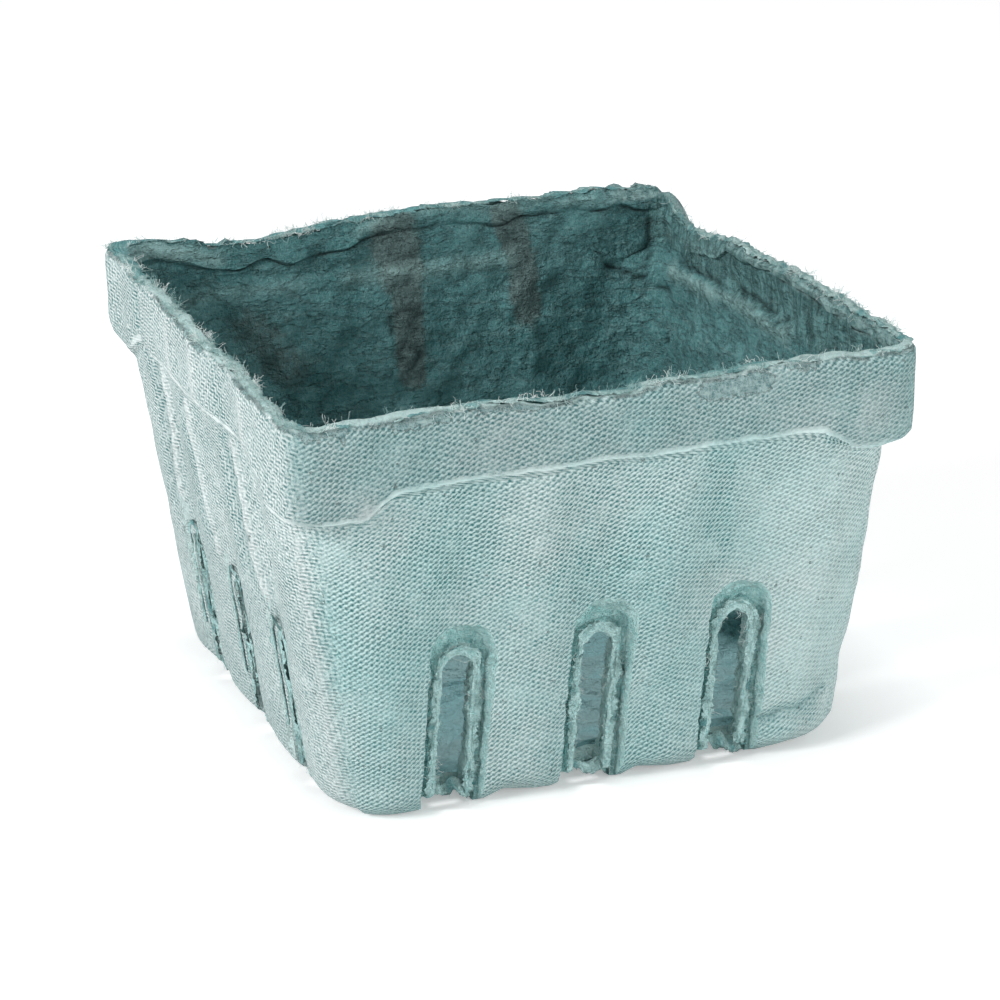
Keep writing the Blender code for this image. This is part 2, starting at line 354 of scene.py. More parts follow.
OUTER_MARKS = (
    (LEFT, ((-56.5, 77), (-56.5, 70), (-56, 64)), 1.7, 3.5, 0),
    (LEFT, ((-37, 74), (-36.3, 63)), -1.0, 1.3, -0.7),
    (LEFT, ((-16, 74), (-16, 64)), 0.25, 1.2, 0.3),
    (LEFT, ((0, 74), (0, 63)), 0.25, 1.2, 0.3),
    (LEFT, ((12, 73), (13, 62)), -0.2, 1.5, -0.3),
    (LEFT, ((28, 73), (29, 61)), 0.25, 1.4, 0.3),
    (FRONT, ((-44.2, 61), (-43, 60.5)), 0, 1.5, 0.6),
    (FRONT, ((47, 66.2), (47.5, 66.4)), 0.3, 3.6, 0.2),
    (FRONT, ((42.6, 68), (42.2, 64)), -0.2, 0.8, -0.5),
    (FRONT, ((41.2, 61.6), (43.4, 61.8)), -0.2, 0.9, -0.9),
    (FRONT, ((-13.5, 60), (-13, 48)), 0.3, 4.0, 0.08),
    (FRONT, ((13, 60), (13, 48)), 0.3, 4.0, 0.08),
    (FRONT, ((-6, 58), (-4.5, 44)), -0.3, 2.2, -0.2),
    (FRONT, ((20, 58), (21, 44)), -0.3, 2.2, -0.2),
    # Painted light: a broad pale stretch over the right of the front's body
    (FRONT, ((38, 50), (38, 30), (38, 14)), 0, 15, 0.26),
    (FRONT, ((29.5, 8.2), (37, 9), (42.9, 11.2)), -0.9, 0.9, -1.0),
    (FRONT, ((31, 6.8), (40, 6.6)), -0.4, 1.6, -0.6),
)
INNER_MARKS = (
    (BACK, ((45, 65), (20, 65.4)), 0.4, 1.5, 0.35),
    (BACK, ((10, 65.2), (0, 65.4), (-10, 65.4), (-22, 65)), 0.6, 1.5, 0.6),
    (BACK, ((50, 74.6), (45, 74)), 0.2, 2.2, 0.7),
    (BACK, ((8, 75), (-10, 75.3), (-40, 75)), 0.5, 1.1, 0.6),
    (BACK, ((-43, 61.5), (-45, 60.6), (-47.5, 59.2), (-50, 59.3)), -0.6, 0.6, -0.9),
    (BACK, ((-52.5, 71), (-51, 61)), -0.5, 0.7, -0.7),
    (BACK, ((-38, 54.5), (-42, 53.8), (-45, 52)), -0.4, 0.6, -0.5),
    (BACK, ((3, 54), (2.5, 57.5), (-1, 58.5), (-4, 57)), -0.4, 0.7, -0.8),
    (BACK, ((2, 50), (0, 52), (-3, 50), (-1, 47), (2, 50)), -0.35, 0.6, -0.6),
    (RIGHT, ((45, 61.5), (32, 62.9), (13, 64.8), (3, 64.3), (-8, 64)), 1.1, 1.8, 1.0),
    (RIGHT, ((44, 63.3), (25, 65.2), (10, 66.4), (-6, 66)), -0.7, 0.8, -1.0),
    (BACK, ((36, 74.6), (45, 74.4), (55, 74.6)), 0.3, 1.6, 0.75),
    (RIGHT, ((40, 73), (20, 73.8), (0, 74.5), (-30, 75)), 0.6, 1.4, 0.6),
    (RIGHT, ((43.3, 48.1), (43.5, 47.6)), -1.2, 0.7, -1),
    (RIGHT, ((47.9, 57.9), (46, 57.2)), -0.5, 0.5, -0.9),
)
# Stains inside: a wall, a run of places, a half width and a strength
STAINS = (
    (BACK, ((1, 73), (0, 65)), 5.0, 0.9),
    (BACK, ((-1, 61), (-1, 55), (-1, 46)), 3.2, 1.0),
    (BACK, ((-22, 74), (-25, 64), (-25, 55)), 3.2, 0.9),
    (BACK, ((30, 58), (23, 50)), 5.0, 0.5),
    (LEFT, ((20, 70), (15, 40)), 6.0, 0.4),
)
# Patches outside where the top ply has peeled away
PEELS = (
    (FRONT, ((16.5, 74.2), (21, 73.4), (27, 73.6)), 1.7, 1.0),
    (FRONT, ((33, 75.6), (42, 76)), 1.0, 1.0),
    (FRONT, ((49, 76), (55, 75.6)), 1.0, 0.9),
    (FRONT, ((-38, 75.4), (-29, 75.3)), 1.0, 1.0),
    (FRONT, ((-24, 75.5), (-14, 75.6)), 1.1, 1.0),
    (FRONT, ((-54, 75.4), (-47, 75.2)), 0.8, 0.9),
    (LEFT, ((-12, 75.8), (4, 75.4)), 1.0, 0.8),
    (LEFT, ((22, 75.8), (34, 75.6)), 1.0, 0.8),
    (RIGHT, ((-40, 74.8), (-10, 75.2)), 1.2, 0.8),
    (BACK, ((-30, 75), (0, 75.4)), 1.2, 0.8),
)

# How far the rim stands above its proper height at places along each wall, in millimetres
RIM_RISES = (
    ((-56, 0.8), (-52, 0.5), (-38, 0.3), (-30, 0.7), (-24, 1.1), (-12, 0), (4, -0.5), (10, 0.6), (19, 0.3),
     (28, 0.8), (37, 0.4), (49, 0.3), (56, 1.0)),
    ((-56, 1.0), (-40, 1.1), (-25, 0.7), (-8, 0.8), (2, -0.5), (10, -1.2), (20, -1.4), (30, -3.6), (38, -5),
     (46, -5), (50, -3.2), (56, -1.4)),
    ((-56, -1.4), (-50, 0), (-41, 0.9), (-31, 0.6), (-11, 1.6), (-1, 1.4), (9, 0.6), (20, -0.4), (30, -1),
     (36, -1.6), (40, 0), (45, 0.8), (48, 1.6), (56, 1)),
    ((-56, 1), (-44, 0.4), (-36, -0.3), (-24, 0.8), (-18, 0), (-8, 0.7), (0, -0.2), (14, 0.4), (30, 0), (56, 0.8)),
)
# The same for the foot's edge
FOOT_RISES = (
    ((-56, 0), (-34, 0), (-20.5, 0), (-17, 1.4), (-11, 0.5), (-8, 0.3), (-6, 0.9), (5, 0), (8, 1.3), (14, 0.4),
     (18, 0.3), (20, 1.0), (31, 0.4), (37, 1.0), (45, 0.3), (56, 0)),
    ((-56, 0), (-45, 0.5), (-34, 0), (-20, 0.9), (-8, 0), (8, 0.2), (17, 1.1), (33, 0), (45, 0.6), (56, 0)),
    ((-56, 0), (-42, 0.7), (-33, 0), (-17, 0.3), (-12, 1.0), (6, 0), (13, 0.9), (20, 0.2), (44, 0.8), (56, 0)),
    ((-56, 0), (-47, 0.6), (-33, 0), (-18, 1.0), (-8, 0), (7, 0.3), (12, 1.1), (20, 0), (38, 0.9), (56, 0)),
)
FOOT_REACH = 9 * MM
RISE_LIMIT = 1.4 * MM
# The same for the crack under the lip inside
CRACK_RISES = (
    ((-56, 0), (-20, 1), (20, -1), (56, 0)),
    ((-56, 0.5), (-32, 0.9), (-11, 0.4), (-6, 1.2), (9, 1.2), (18, -0.3), (27, -1.5), (38, -2), (56, -0.8)),
    ((-56, -0.8), (-33, 0.7), (-20, -0.3), (0, 0.2), (13, -1.1), (22, -3.2), (34, -1.9), (47, -0.9), (56, 0)),
    ((-56, 0), (-20, -1), (15, 0.8), (56, 0)),
)

BROAD_WAVE = 34 * MM
BROAD_DEPTH = 0.28 * MM
OUTER_WAVE = 9 * MM
OUTER_DEPTH = 0.1 * MM
INNER_WAVES = ((6.5 * MM, 0.26 * MM), (3.2 * MM, 0.11 * MM))
RIM_WAVES = ((7 * MM, 0.16 * MM), (2.6 * MM, 0.17 * MM))
BACK_UNEVEN = 1.8
RIM_REACH = 9 * MM
LIP_REACH = 2 * MM
FOOT_CALM = 4 * MM
RUN_SPACING = 1.2 * MM
LEFT_PAINTED_LIGHT = 0.08


def walls_and_places(points):
    """Which wall each point is on, and how far along it."""
    x, y = points[..., 0], points[..., 1]
    reaches = np.stack([-y, x, y, -x])
    wall = reaches.argmax(axis=0)
    along = np.choose(wall, [x, y, -x, -y])
    return wall, along


def run_points(side, run, walls, alongs, points):
    """Places on the skin along a mark's run, close together."""
    run = np.array(run) * MM
    places = np.array(divided(run, RUN_SPACING))
    chosen = points[walls == side]
    at = np.stack([alongs[walls == side], chosen[:, 2]], axis=1)
    nearest = [np.argmin(((at - place) ** 2).sum(axis=1)) for place in places]
    return chosen[nearest]


def distance_to(run, points, reach):
    """How far each point is from a run of places, or the reach where it is further."""
    found = np.full(len(points), reach)
    low, high = run.min(axis=0) - reach, run.max(axis=0) + reach
    near = ((points > low) & (points < high)).all(axis=1)
    starts, ends = (run[:-1], run[1:]) if len(run) > 1 else (run, run)
    for start, end in zip(starts, ends):
        step = end - start
        share = np.clip((points[near] - start) @ step / max(step @ step, 1e-12), 0, 1)
        gap = np.linalg.norm(points[near] - start - share[:, None] * step, axis=1)
        found[near] = np.minimum(found[near], gap)
    return found


def marked(points, inside):
    """How far the marks move each point of the skin, its tone and its stain."""
    shape = points.shape[:2]
    skins = []
    flat = points.reshape(-1, 3)
    within = np.broadcast_to(inside, shape).reshape(-1)
    walls, alongs = walls_and_places(flat)
    mirrored = [(tuple((-along, up) for along, up in run), *rest) for run, *rest in FOLD_MARKS + (CORNER_MARK,)]
    folds = [(LEFT, *mark) for mark in FOLD_MARKS + (CORNER_MARK,)]
    folds += [(side, *mark) for side in (RIGHT, BACK) for mark in mirrored]
    shift, tone, stain = (np.zeros(len(flat)) for _ in range(3))
    for marks, skin in ((tuple(folds) + OUTER_MARKS, within < 0.5), (INNER_MARKS, within >= 0.5)):
        index = np.flatnonzero(skin)
        skins.append((index, flat[index], walls[index], alongs[index]))
        for side, run, raised, width, pale in marks:
            places = run_points(side, run, walls[index], alongs[index], flat[index])
            gap = distance_to(places, flat[index], 3 * width * MM)
            share = np.exp(-((gap / (width * MM)) ** 2))
            shift[index] += raised * MM * share
            tone[index] += pale * share
    for table, (index, chosen, chosen_walls, chosen_alongs) in ((PEELS, skins[0]), (STAINS, skins[1])):
        for side, run, width, strength in table:
            places = run_points(side, run, chosen_walls, chosen_alongs, chosen)
            gap = distance_to(places, chosen, 3 * width * MM)
            stain[index] = np.maximum(stain[index], strength * np.exp(-((gap / (width * MM)) ** 4)))
    return (values.reshape(shape) for values in (shift, tone, stain))


def rises(walls, alongs, table):
    """The rise at each point from a table for each wall."""
    found = np.zeros(alongs.shape)
    for side, places in enumerate(table):
        at, rise = np.array(places).T * MM
        found = np.where(walls == side, np.interp(alongs, at, rise), found)
    return found


def crack_share(lengths):
    """One at the crack under the lip, falling to nothing at the lip's top and at the shoulder."""
    keys = key_lengths()
    return np.interp(lengths, keys[[CRACK_KEY - 2, CRACK_KEY - 1, CRACK_KEY + 1, CRACK_KEY + 2]], (0, 1, 1, 0))


def pressed_and_shaded(points, table, lengths):
    """The moulded form with the press's unevenness, and the tone, much of it painted light and shade, and the stain of
    each point.
    """
    normals = surface_normals(points)
    inside = table[:, 9][:, None]
    shift, tone, stain = marked(points, inside)
    broad = BROAD_DEPTH * waves(points, BROAD_WAVE, 11)
    shift += np.where(inside > 0.5, -broad, broad)
    shift += (1 - inside) * OUTER_DEPTH * waves(points, OUTER_WAVE, 12)
    for number, (length, depth) in enumerate(INNER_WAVES):
        shift += inside * depth * waves(points, length, 13 + number)
    height = points[:, :, 2]
    calm = np.where(inside < 0.5, smooth_step(0, FOOT_CALM, height), 1)
    moved = points + normals * (shift * calm)[:, :, None]
    walls, alongs = walls_and_places(points)
    moved[:, :, 2] += smooth_step(HEIGHT - RIM_REACH, HEIGHT, height) * rises(walls, alongs, RIM_RISES)
    low_down = (1 - inside) * smooth_step(FOOT_REACH, 0, height)
    edgewise = smooth_step(FLOOR_RING, FOOT_WIDTH / 2 - FOOT_ROUND, np.abs(points[:, :, :2]).max(axis=2))
    moved[:, :, 2] += low_down * edgewise * rises(walls, alongs, FOOT_RISES)
    near_crack = crack_share(lengths)[:, None]
    moved[:, :, 2] += near_crack * (rises(walls, alongs, CRACK_RISES) + 0.4 * MM * waves(points, 9 * MM, 31))
    # Painted shade: a dark line along the crack under the lip inside
    crack = np.exp(-(((lengths - key_lengths()[CRACK_KEY]) / (0.6 * MM)) ** 2))[:, None]
    # Painted light: the outer skin is paler where it faces the key lamp on the left
    facing_left = np.clip(-normals[:, :, 0], 0, 1) ** 2 * (1 - inside)
    tone = tone + LEFT_PAINTED_LIGHT * facing_left - crack * np.clip(0.8 + 0.6 * waves(points, 8 * MM, 32), 0, 1)
    near_lip = smooth_step(HEIGHT - LIP_REACH, HEIGHT, height)
    for number, (length, depth) in enumerate(RIM_WAVES):
        uneven = np.where(walls == BACK, BACK_UNEVEN, 1) * depth
        moved[:, :, 2] += near_lip * uneven * waves(points, length, 20 + number)
    risen = moved[:, :, 2] - HEIGHT
    moved[:, :, 2] = HEIGHT + np.where(risen > 0, RISE_LIMIT * np.tanh(risen / RISE_LIMIT), risen)
    return moved, np.clip((1 + tone) / 2, 0, 1), stain


OUTSIDE, INSIDE, IN_SLOT, UNDERSIDE = range(4)


def climbed(rows, level):
    """How far up the wall each point is, from the given row: by height, and by length in the foot."""
    steps = np.linalg.norm(np.diff(rows, axis=0), axis=2)
    rise = np.diff(rows[:, :, 2], axis=0) * math.hypot(1, WALL_SLOPE)
    steps = np.where(rows[1:, :, 2] > FOOT_ROUND, rise, steps)
    lengths = np.concatenate([np.zeros((1, rows.shape[1])), np.cumsum(steps, axis=0)])
    return lengths - lengths[level]


def moulded_skin():
    """The finished skin by station and column, with all that its mesh needs."""
    points, _, shares, lengths, table = grid()
    points, tone, stain = pressed_and_shaded(points, table, lengths)
    return {"points": points, "shares": shares, "lengths": lengths, "table": table, "shading_and_stain": (tone, stain)}


def shell_mesh(skin):
    """The whole skin as one closed mesh, with a UV map of the way round and along the profile."""
    points, shares, lengths, table = (skin[name] for name in ("points", "shares", "lengths", "table"))
    tone, stain = skin["shading_and_stain"]
    scales = np.arange(1, FLOOR_RINGS) / FLOOR_RINGS
    flat = np.array([1, 1, 0])
    below = [points[0] * (flat * scale) for scale in scales]
    above = [points[-1] * (flat * scale) + (1 - flat) * points[-1] for scale in scales[::-1]]
    rows = np.concatenate([below, points, above])
    inset = FLOOR_FLAT * (1 - scales)
    row_lengths = np.concatenate([-inset, lengths, lengths[-1] + inset[::-1]])
    climbs = climbed(rows, np.searchsorted(row_lengths, key_lengths()[LIP_KEY]))
    row_shares = np.concatenate([shares[:1]] * len(scales) + [shares] + [shares[-1:]] * len(scales))
    row_inside = np.concatenate([np.zeros(len(scales)), table[:, 9], np.ones(len(scales))])
    shading_and_stain = np.stack([tone, stain], axis=2)
    row_shading_and_stain = np.concatenate([[shading_and_stain[0]] * len(scales), shading_and_stain, [shading_and_stain[-1]] * len(scales)])
    count, columns = rows.shape[:2]
    centre_low = len(rows) * columns
    verts = np.concatenate([rows.reshape(-1, 3), [[0, 0, 0], [0, 0, FLOOR]]])
    faces, uvs, profile, wear_and_shading, slots = [], [], [], [], []
    for i in range(count - 1):
        flat_below = row_lengths[i + 1] < FLOOR_SPACING / 2
        slot = UNDERSIDE if flat_below else (INSIDE if row_inside[i] + row_inside[i + 1] > 1 else OUTSIDE)
        for j in range(columns):
            after = (j + 1) % columns
            faces.append((i * columns + j, i * columns + after, (i + 1) * columns + after, (i + 1) * columns + j))
            turns = [1 if j + 1 == columns else row_shares[k][after] for k in (i, i + 1)]
            ends = (turns[0], climbs[i][after]), (turns[1], climbs[i + 1][after])
            uvs += [(row_shares[i][j], climbs[i][j]), *ends, (row_shares[i + 1][j], climbs[i + 1][j])]
            low, high = row_lengths[i], row_lengths[i + 1]
            profile += [(0, low), (0, low), (0, high), (0, high)]
            wear_and_shading += [row_shading_and_stain[i][j], row_shading_and_stain[i][after], row_shading_and_stain[i + 1][after], row_shading_and_stain[i + 1][j]]
            slots.append(slot)
    last = (count - 1) * columns
    for j in range(columns):
        after = (j + 1) % columns
        faces.append((centre_low, after, j))
        faces.append((last + j, last + after, centre_low + 1))
        uvs += [(0, 0)] * 6
        profile += [(0, row_lengths[0])] * 3 + [(0, row_lengths[-1])] * 3
        wear_and_shading += [(0.5, 0)] * 6
        slots += [UNDERSIDE, INSIDE]
    mesh = bpy.data.meshes.new("basket_wall")
    mesh.from_pydata(verts.tolist(), [], faces)
    scaled = np.array(uvs) * (IMPRINT_LENGTH, 1) / UV_UNIT
    mesh.uv_layers.new(name="pulp_map").uv.foreach_set("vector", scaled.astype(np.float32).ravel())
    scaled = np.array(profile) / UV_UNIT
    mesh.uv_layers.new(name="profile_map").uv.foreach_set("vector", scaled.astype(np.float32).ravel())
    mesh.uv_layers.new(name="wear_map").uv.foreach_set("vector", np.array(wear_and_shading, dtype=np.float32).ravel())
    mesh.polygons.foreach_set("material_index", slots)
    return mesh


# The cutters for the slots, each a closed run of loops with a slightly torn line
LOOP_SPACING = 0.9 * MM
TEAR_WAVES = ((4 * MM, 0.12 * MM), (1.6 * MM, 0.07 * MM))


def arch_outline(half, top, bottom):
    """Points (across, up) of a slot shape: straight sides and a round head, evenly divided."""
    springing = top - half
    side_steps = round((SLOT_TOP - bottom) / LOOP_SPACING)
    arch_steps = 22
    sides = np.linspace(bottom, springing, side_steps, endpoint=False)
    turns = np.linspace(math.pi, 0, arch_steps + 1)
    left = np.stack([np.full(side_steps, -half), sides], axis=1)
    arch = np.stack([half * np.cos(turns), springing + half * np.sin(turns)], axis=1)
    right = np.stack([np.full(side_steps, half), sides[::-1]], axis=1)
    return np.concatenate([left, arch, right])


def wall_frames():
    """The placing of each slot: across the wall, out of it and up its slope, from the wall's foot."""
    tilt = math.atan(WALL_SLOPE)
    slope = Matrix.Translation((0, -FOOT_WIDTH / 2, 0)) @ Matrix.Rotation(tilt, 4, "X")
    for side in range(SIDES):
        turn = Matrix.Rotation(side * math.pi / 2, 4, "Z")
        lean_angle = math.radians(FRONT_LEAN_DEGREES) if side == 0 else 0
        lean = Matrix.Rotation(lean_angle, 4, "Y")
        pivot = Matrix.Translation((0, 0, LEAN_PIVOT))
        for index in range(SLOTS_PER_SIDE):
            place = (index - 1) * SLOT_PITCH
            foot = place - LEAN_PIVOT * math.tan(lean_angle)
            upright = turn @ Matrix.Translation((place, 0, 0)) @ slope
            yield side, upright @ pivot @ lean @ pivot.inverted(), turn @ Matrix.Translation((foot, 0, 0))


def divided(steps, spacing):
    """The same run of steps with more between them, none longer than the spacing."""
    steps = np.array(steps)
    run = [steps[0]]
    for start, end in zip(steps, steps[1:]):
        count = max(1, math.ceil(np.abs(end - start).max() / spacing))
        run += [start + (end - start) * (i + 1) / count for i in range(count)]
    return run


def torn(points, seed):
    """Loops with their line made uneven."""
    moved = points.copy()
    for number, (length, depth) in enumerate(TEAR_WAVES):
        for axis in range(3):
            moved[:, axis] += depth * waves(points, length, seed + 10 * number + axis)
    return moved


def loft_arrays(loops, offset):
    """Faces of a run of loops closed at both ends, counting points from the offset."""
    count = len(loops[0])
    faces = []
    for i in range(len(loops) - 1):
        for j in range(count):
            after = (j + 1) % count
            low, high = offset + i * count, offset + (i + 1) * count
            faces.append((low + j, low + after, high + after, high + j))
    faces.append(tuple(offset + j for j in reversed(range(count))))
    faces.append(tuple(offset + (len(loops) - 1) * count + j for j in range(count)))
    return faces


def cutter(name, bodies, tones, seed):
    """One object that holds a cutter for each slot, with a tone for each of its loops."""
    verts, faces, shades = [], [], []
    for loops, loop_tones in zip(bodies, tones):
        points = torn(np.concatenate(loops), seed)
        faces += loft_arrays(loops, len(verts))
        verts += points.tolist()
        shades += [tone for loop, tone in zip(loops, loop_tones) for _ in loop]
    mesh = bpy.data.meshes.new(name)
    mesh.from_pydata(verts, [], faces)
    wear_and_shading = [(shades[loop.vertex_index], 0) for loop in mesh.loops]
    mesh.uv_layers.new(name="wear_map").uv.foreach_set("vector", np.array(wear_and_shading, dtype=np.float32).ravel())
    obj = bpy.data.objects.new(name, mesh)
    bpy.context.scene.collection.objects.link(obj)
    tidy = bmesh.new()
    tidy.from_mesh(mesh)
    bmesh.ops.recalc_face_normals(tidy, faces=tidy.faces)
    tidy.to_mesh(mesh)
    tidy.free()
    mesh.polygons.foreach_set("material_index", [IN_SLOT] * len(mesh.polygons))
    return obj


def placed(frame_matrix, across, out, up):
    return np.array([frame_matrix @ Vector(point) for point in zip(across, out, up)])


def arch_loops(steps, frame_matrix):
    loops = []
    for out, half, top, _ in divided(steps, LOOP_SPACING):
        flat = arch_outline(half, top, -OVERRUN)
        loops.append(placed(frame_matrix, flat[:, 0], np.full(len(flat), -out), flat[:, 1]))
    return loops


def loop_tones(steps):
    return [step[-1] / MM for step in divided(steps, LOOP_SPACING)]


FRAME_BULGE = 0.1 * MM
# The recesses of the left wall are nearly closed up, and their tones are raised there as painted light on that lit wall
RECESS_DEPTH_SHARES = (1, 1, 1, 0.3)
RECESS_TONES = (0, 0, 0, 0.45)
TONE = 1 * MM


def recess_cutter():
    """The arched hollow round each slot, which leaves a low rounded frame next to the slot."""
    frame_middle = (FRAME_HALF + SLOT_HALF) / 2
    frame_middle_top = (FRAME_TOP + SLOT_TOP) / 2
    loops, tones = [], []
    for side, place, _ in wall_frames():
        share = RECESS_DEPTH_SHARES[side]
        paler = RECESS_TONES[side] * TONE
        # The last value of each step is its tone, which paints shade into the hollow, darkest in the crease at the
        # frame's outer edge
        steps = (
            (OVERRUN, RECESS_HALF, RECESS_TOP, 0.85 * TONE + paler),
            (0, RECESS_HALF, RECESS_TOP, 0.85 * TONE + paler),
            (-RECESS_DEPTH * share, RECESS_ROOT_HALF, RECESS_ROOT_TOP, 0.55 * TONE + paler),
            (-RECESS_DEPTH * share, FRAME_OUTER_HALF, FRAME_TOP + CREASE, 0.2 * TONE + paler),
            (-FRAME_DEPTH * share, FRAME_HALF, FRAME_TOP, 0.65 * TONE + paler),
            (-FRAME_DEPTH * share + FRAME_BULGE, frame_middle, frame_middle_top, 0.7 * TONE + paler),
            (-FRAME_DEPTH * share, SLOT_HALF - CREASE, SLOT_TOP - CREASE, 0.85 * TONE),
        )
        loops.append(arch_loops(steps, place))
        tones.append(loop_tones(steps))
    return cutter("recess_cutter", loops, tones, 40)


def slot_cutter():
    # The tone falls from the slot's face inward: painted shade deeper in the slot
    steps = ((OVERRUN, SLOT_HALF, SLOT_TOP, 0.9 * TONE), (-SLOT_REACH, SLOT_HALF, SLOT_TOP, 0.7 * TONE))
    loops = [arch_loops(steps, place) for _, place, _ in wall_frames()]
    return cutter("slot_cutter", loops, [loop_tones(steps)] * len(loops), 60)


def groove_cutter():
    """The hollow under the foot, where each recess turns below the floor."""
    front = -FOOT_WIDTH / 2
    corners = (
        (-OVERRUN, -OVERRUN),
        (GROOVE_LENGTH, -OVERRUN),
        (GROOVE_LENGTH, 0),
        (GROOVE_LENGTH - GROOVE_SLOPE, GROOVE_HEIGHT),
        (-OVERRUN, GROOVE_HEIGHT),
        (-OVERRUN, -OVERRUN),
    )
    profile = np.array(divided(corners, LOOP_SPACING)[:-1])
    steps = np.linspace(-GROOVE_HALF, GROOVE_HALF, 2 * round(GROOVE_HALF / LOOP_SPACING) + 1)
    bodies = []
    for _, _, place in wall_frames():
        count = len(profile)
        bodies.append([placed(place, np.full(count, x), front + profile[:, 0], profile[:, 1]) for x in steps])
    return cutter("groove_cutter", bodies, [[0.3] * len(steps)] * len(bodies), 80)


def cut_away(obj, tool):
    cut = obj.modifiers.new(tool.name, "BOOLEAN")
    cut.operation = "DIFFERENCE"
    cut.solver = "MANIFOLD"
    cut.object = tool


def applied(obj):
    """The object's mesh with its modifiers made real, and the modifiers gone."""
    bpy.context.view_layer.update()
    graph = bpy.context.evaluated_depsgraph_get()
    mesh = bpy.data.meshes.new_from_object(obj.evaluated_get(graph))
    obj.modifiers.clear()
    obj.data = mesh
    return obj


def basket_wall(skin, materials):
    mesh = shell_mesh(skin)
    for material in materials:
        mesh.materials.append(material)
    wall = bpy.data.objects.new("basket_wall", mesh)
    bpy.context.scene.collection.objects.link(wall)
    tools = [recess_cutter(), groove_cutter(), slot_cutter()]
    for tool in tools:
        for material in materials:
            tool.data.materials.append(material)
        tool.data.polygons.foreach_set("material_index", [IN_SLOT] * len(tool.data.polygons))
        cut_away(wall, tool)
    applied(wall)
    for tool in tools:
        bpy.data.objects.remove(tool)
    wall.data.shade_smooth()
    wall.data.set_sharp_from_angle(angle=math.radians(40))
    return wall


# The torn plies: thin ragged strips that stand out from a line on the pulp
STRIP_STEPS = 5
STRIP_THICK = 0.24 * MM
LIP_COLUMNS = 1500
TORN_WAVES = ((6 * MM, 0.5), (1.5 * MM, 0.35), (0.6 * MM, 0.25))


def ragged(places, seed):
    """An uneven value of about one unit along a line, rough at every size."""
    return sum(depth * waves(places, length, seed + number) for number, (length, depth) in enumerate(TORN_WAVES))


def unit(vectors):
    return vectors / np.maximum(np.linalg.norm(vectors, axis=-1), 1e-12)[..., None]


# How pale the torn ply is on each wall: over the outside, then over the inside
RIM_SHADES = ((0.55, 0.1), (0.65, 0.7), (0.2, 0.15), (1.0, 0.9))
BACK_END = 38 * MM
LOWER_SHADE = 0.85
SILL_SHADE = 0.75
SILL_SHADE_TOP = 6 * MM
SHADE_SWING = 0.3


def rim_shade(line, number):
    """How pale a ply is along its line."""
    walls, _ = walls_and_places(line)
    walls = np.where(line[:, 1] > BACK_END, BACK, walls)
    at_rim = line[:, 2] > BAND_BOTTOM
    shade = np.where(line[:, 2] > SILL_SHADE_TOP, LOWER_SHADE, SILL_SHADE)
    shade = np.where(at_rim, np.array(RIM_SHADES)[walls, number % 2], shade)
    return np.clip(shade + SHADE_SWING * waves(line, 3 * MM, 70 + number % 2), 0, 1)


def strip_mesh(name, strips, closed):
    """One mesh of thin strips. Each strip is its line, the way it reaches, its upper side, how far it
    reaches and how far it curls, at each place along the line."""
    verts, faces, shades = [], [], []
    shares = np.linspace(0, 1, STRIP_STEPS + 1)
    for number, (line, reach, up, width, curl) in enumerate(strips):
        rows = []
        for share in shares:
            middle = line + reach * (width * share)[:, None] + up * (curl * share ** 2)[:, None]
            rows.append(middle + up * STRIP_THICK / 2 * (1 - 0.8 * share ** 2))
        for share in shares[-2::-1]:
            middle = line + reach * (width * share)[:, None] + up * (curl * share ** 2)[:, None]
            rows.append(middle - up * STRIP_THICK / 2 * (1 - 0.8 * share ** 2))
        count, columns, offset = len(rows), len(line), len(verts)
        verts += np.concatenate(rows).tolist()
        shades += np.tile(rim_shade(line, number), count).tolist()
        for j in range(columns if closed else columns - 1):
            after = (j + 1) % columns
            for i in range(count):
                low, high = offset + i * columns, offset + (i + 1) % count * columns
                faces.append((low + j, low + after, high + after, high + j))
        if not closed:
            faces.append(tuple(offset + i * columns for i in range(count)))
            faces.append(tuple(offset + i * columns + columns - 1 for i in reversed(range(count))))
    mesh = bpy.data.meshes.new(name)
    mesh.from_pydata(verts, [], faces)
    tidy = bmesh.new()
    tidy.from_mesh(mesh)
    bmesh.ops.recalc_face_normals(tidy, faces=tidy.faces)
    tidy.to_mesh(mesh)
    tidy.free()
    mesh.attributes.new("shade", "FLOAT", "POINT").data.foreach_set("value", np.array(shades, dtype=np.float32))
    mesh.shade_smooth()
    return mesh


def new_piece(name, mesh, material):
    mesh.materials.clear()
    mesh.materials.append(material)
    piece = bpy.data.objects.new(name, mesh)
    bpy.context.scene.collection.objects.link(piece)
    return piece


def skin_line(skin, number, columns=LIP_COLUMNS):
    """The closed line round the skin at one of the profile's keys, finely divided."""
    row = skin["points"][np.searchsorted(skin["lengths"], key_lengths()[number] - 1e-9)]
    looped = np.concatenate([row, row[:1]])
    lengths = np.concatenate([[0], np.cumsum(np.linalg.norm(np.diff(looped, axis=0), axis=1))])
    places = np.linspace(0, lengths[-1], columns, endpoint=False)
    return np.stack([np.interp(places, lengths, looped[:, axis]) for axis in range(3)], axis=1)


LIP_LIFT = 0
OVERHANG = 0.15 * MM
OVERHANG_SWING = 0.75 * MM
LIP_CURL = 0.25 * MM


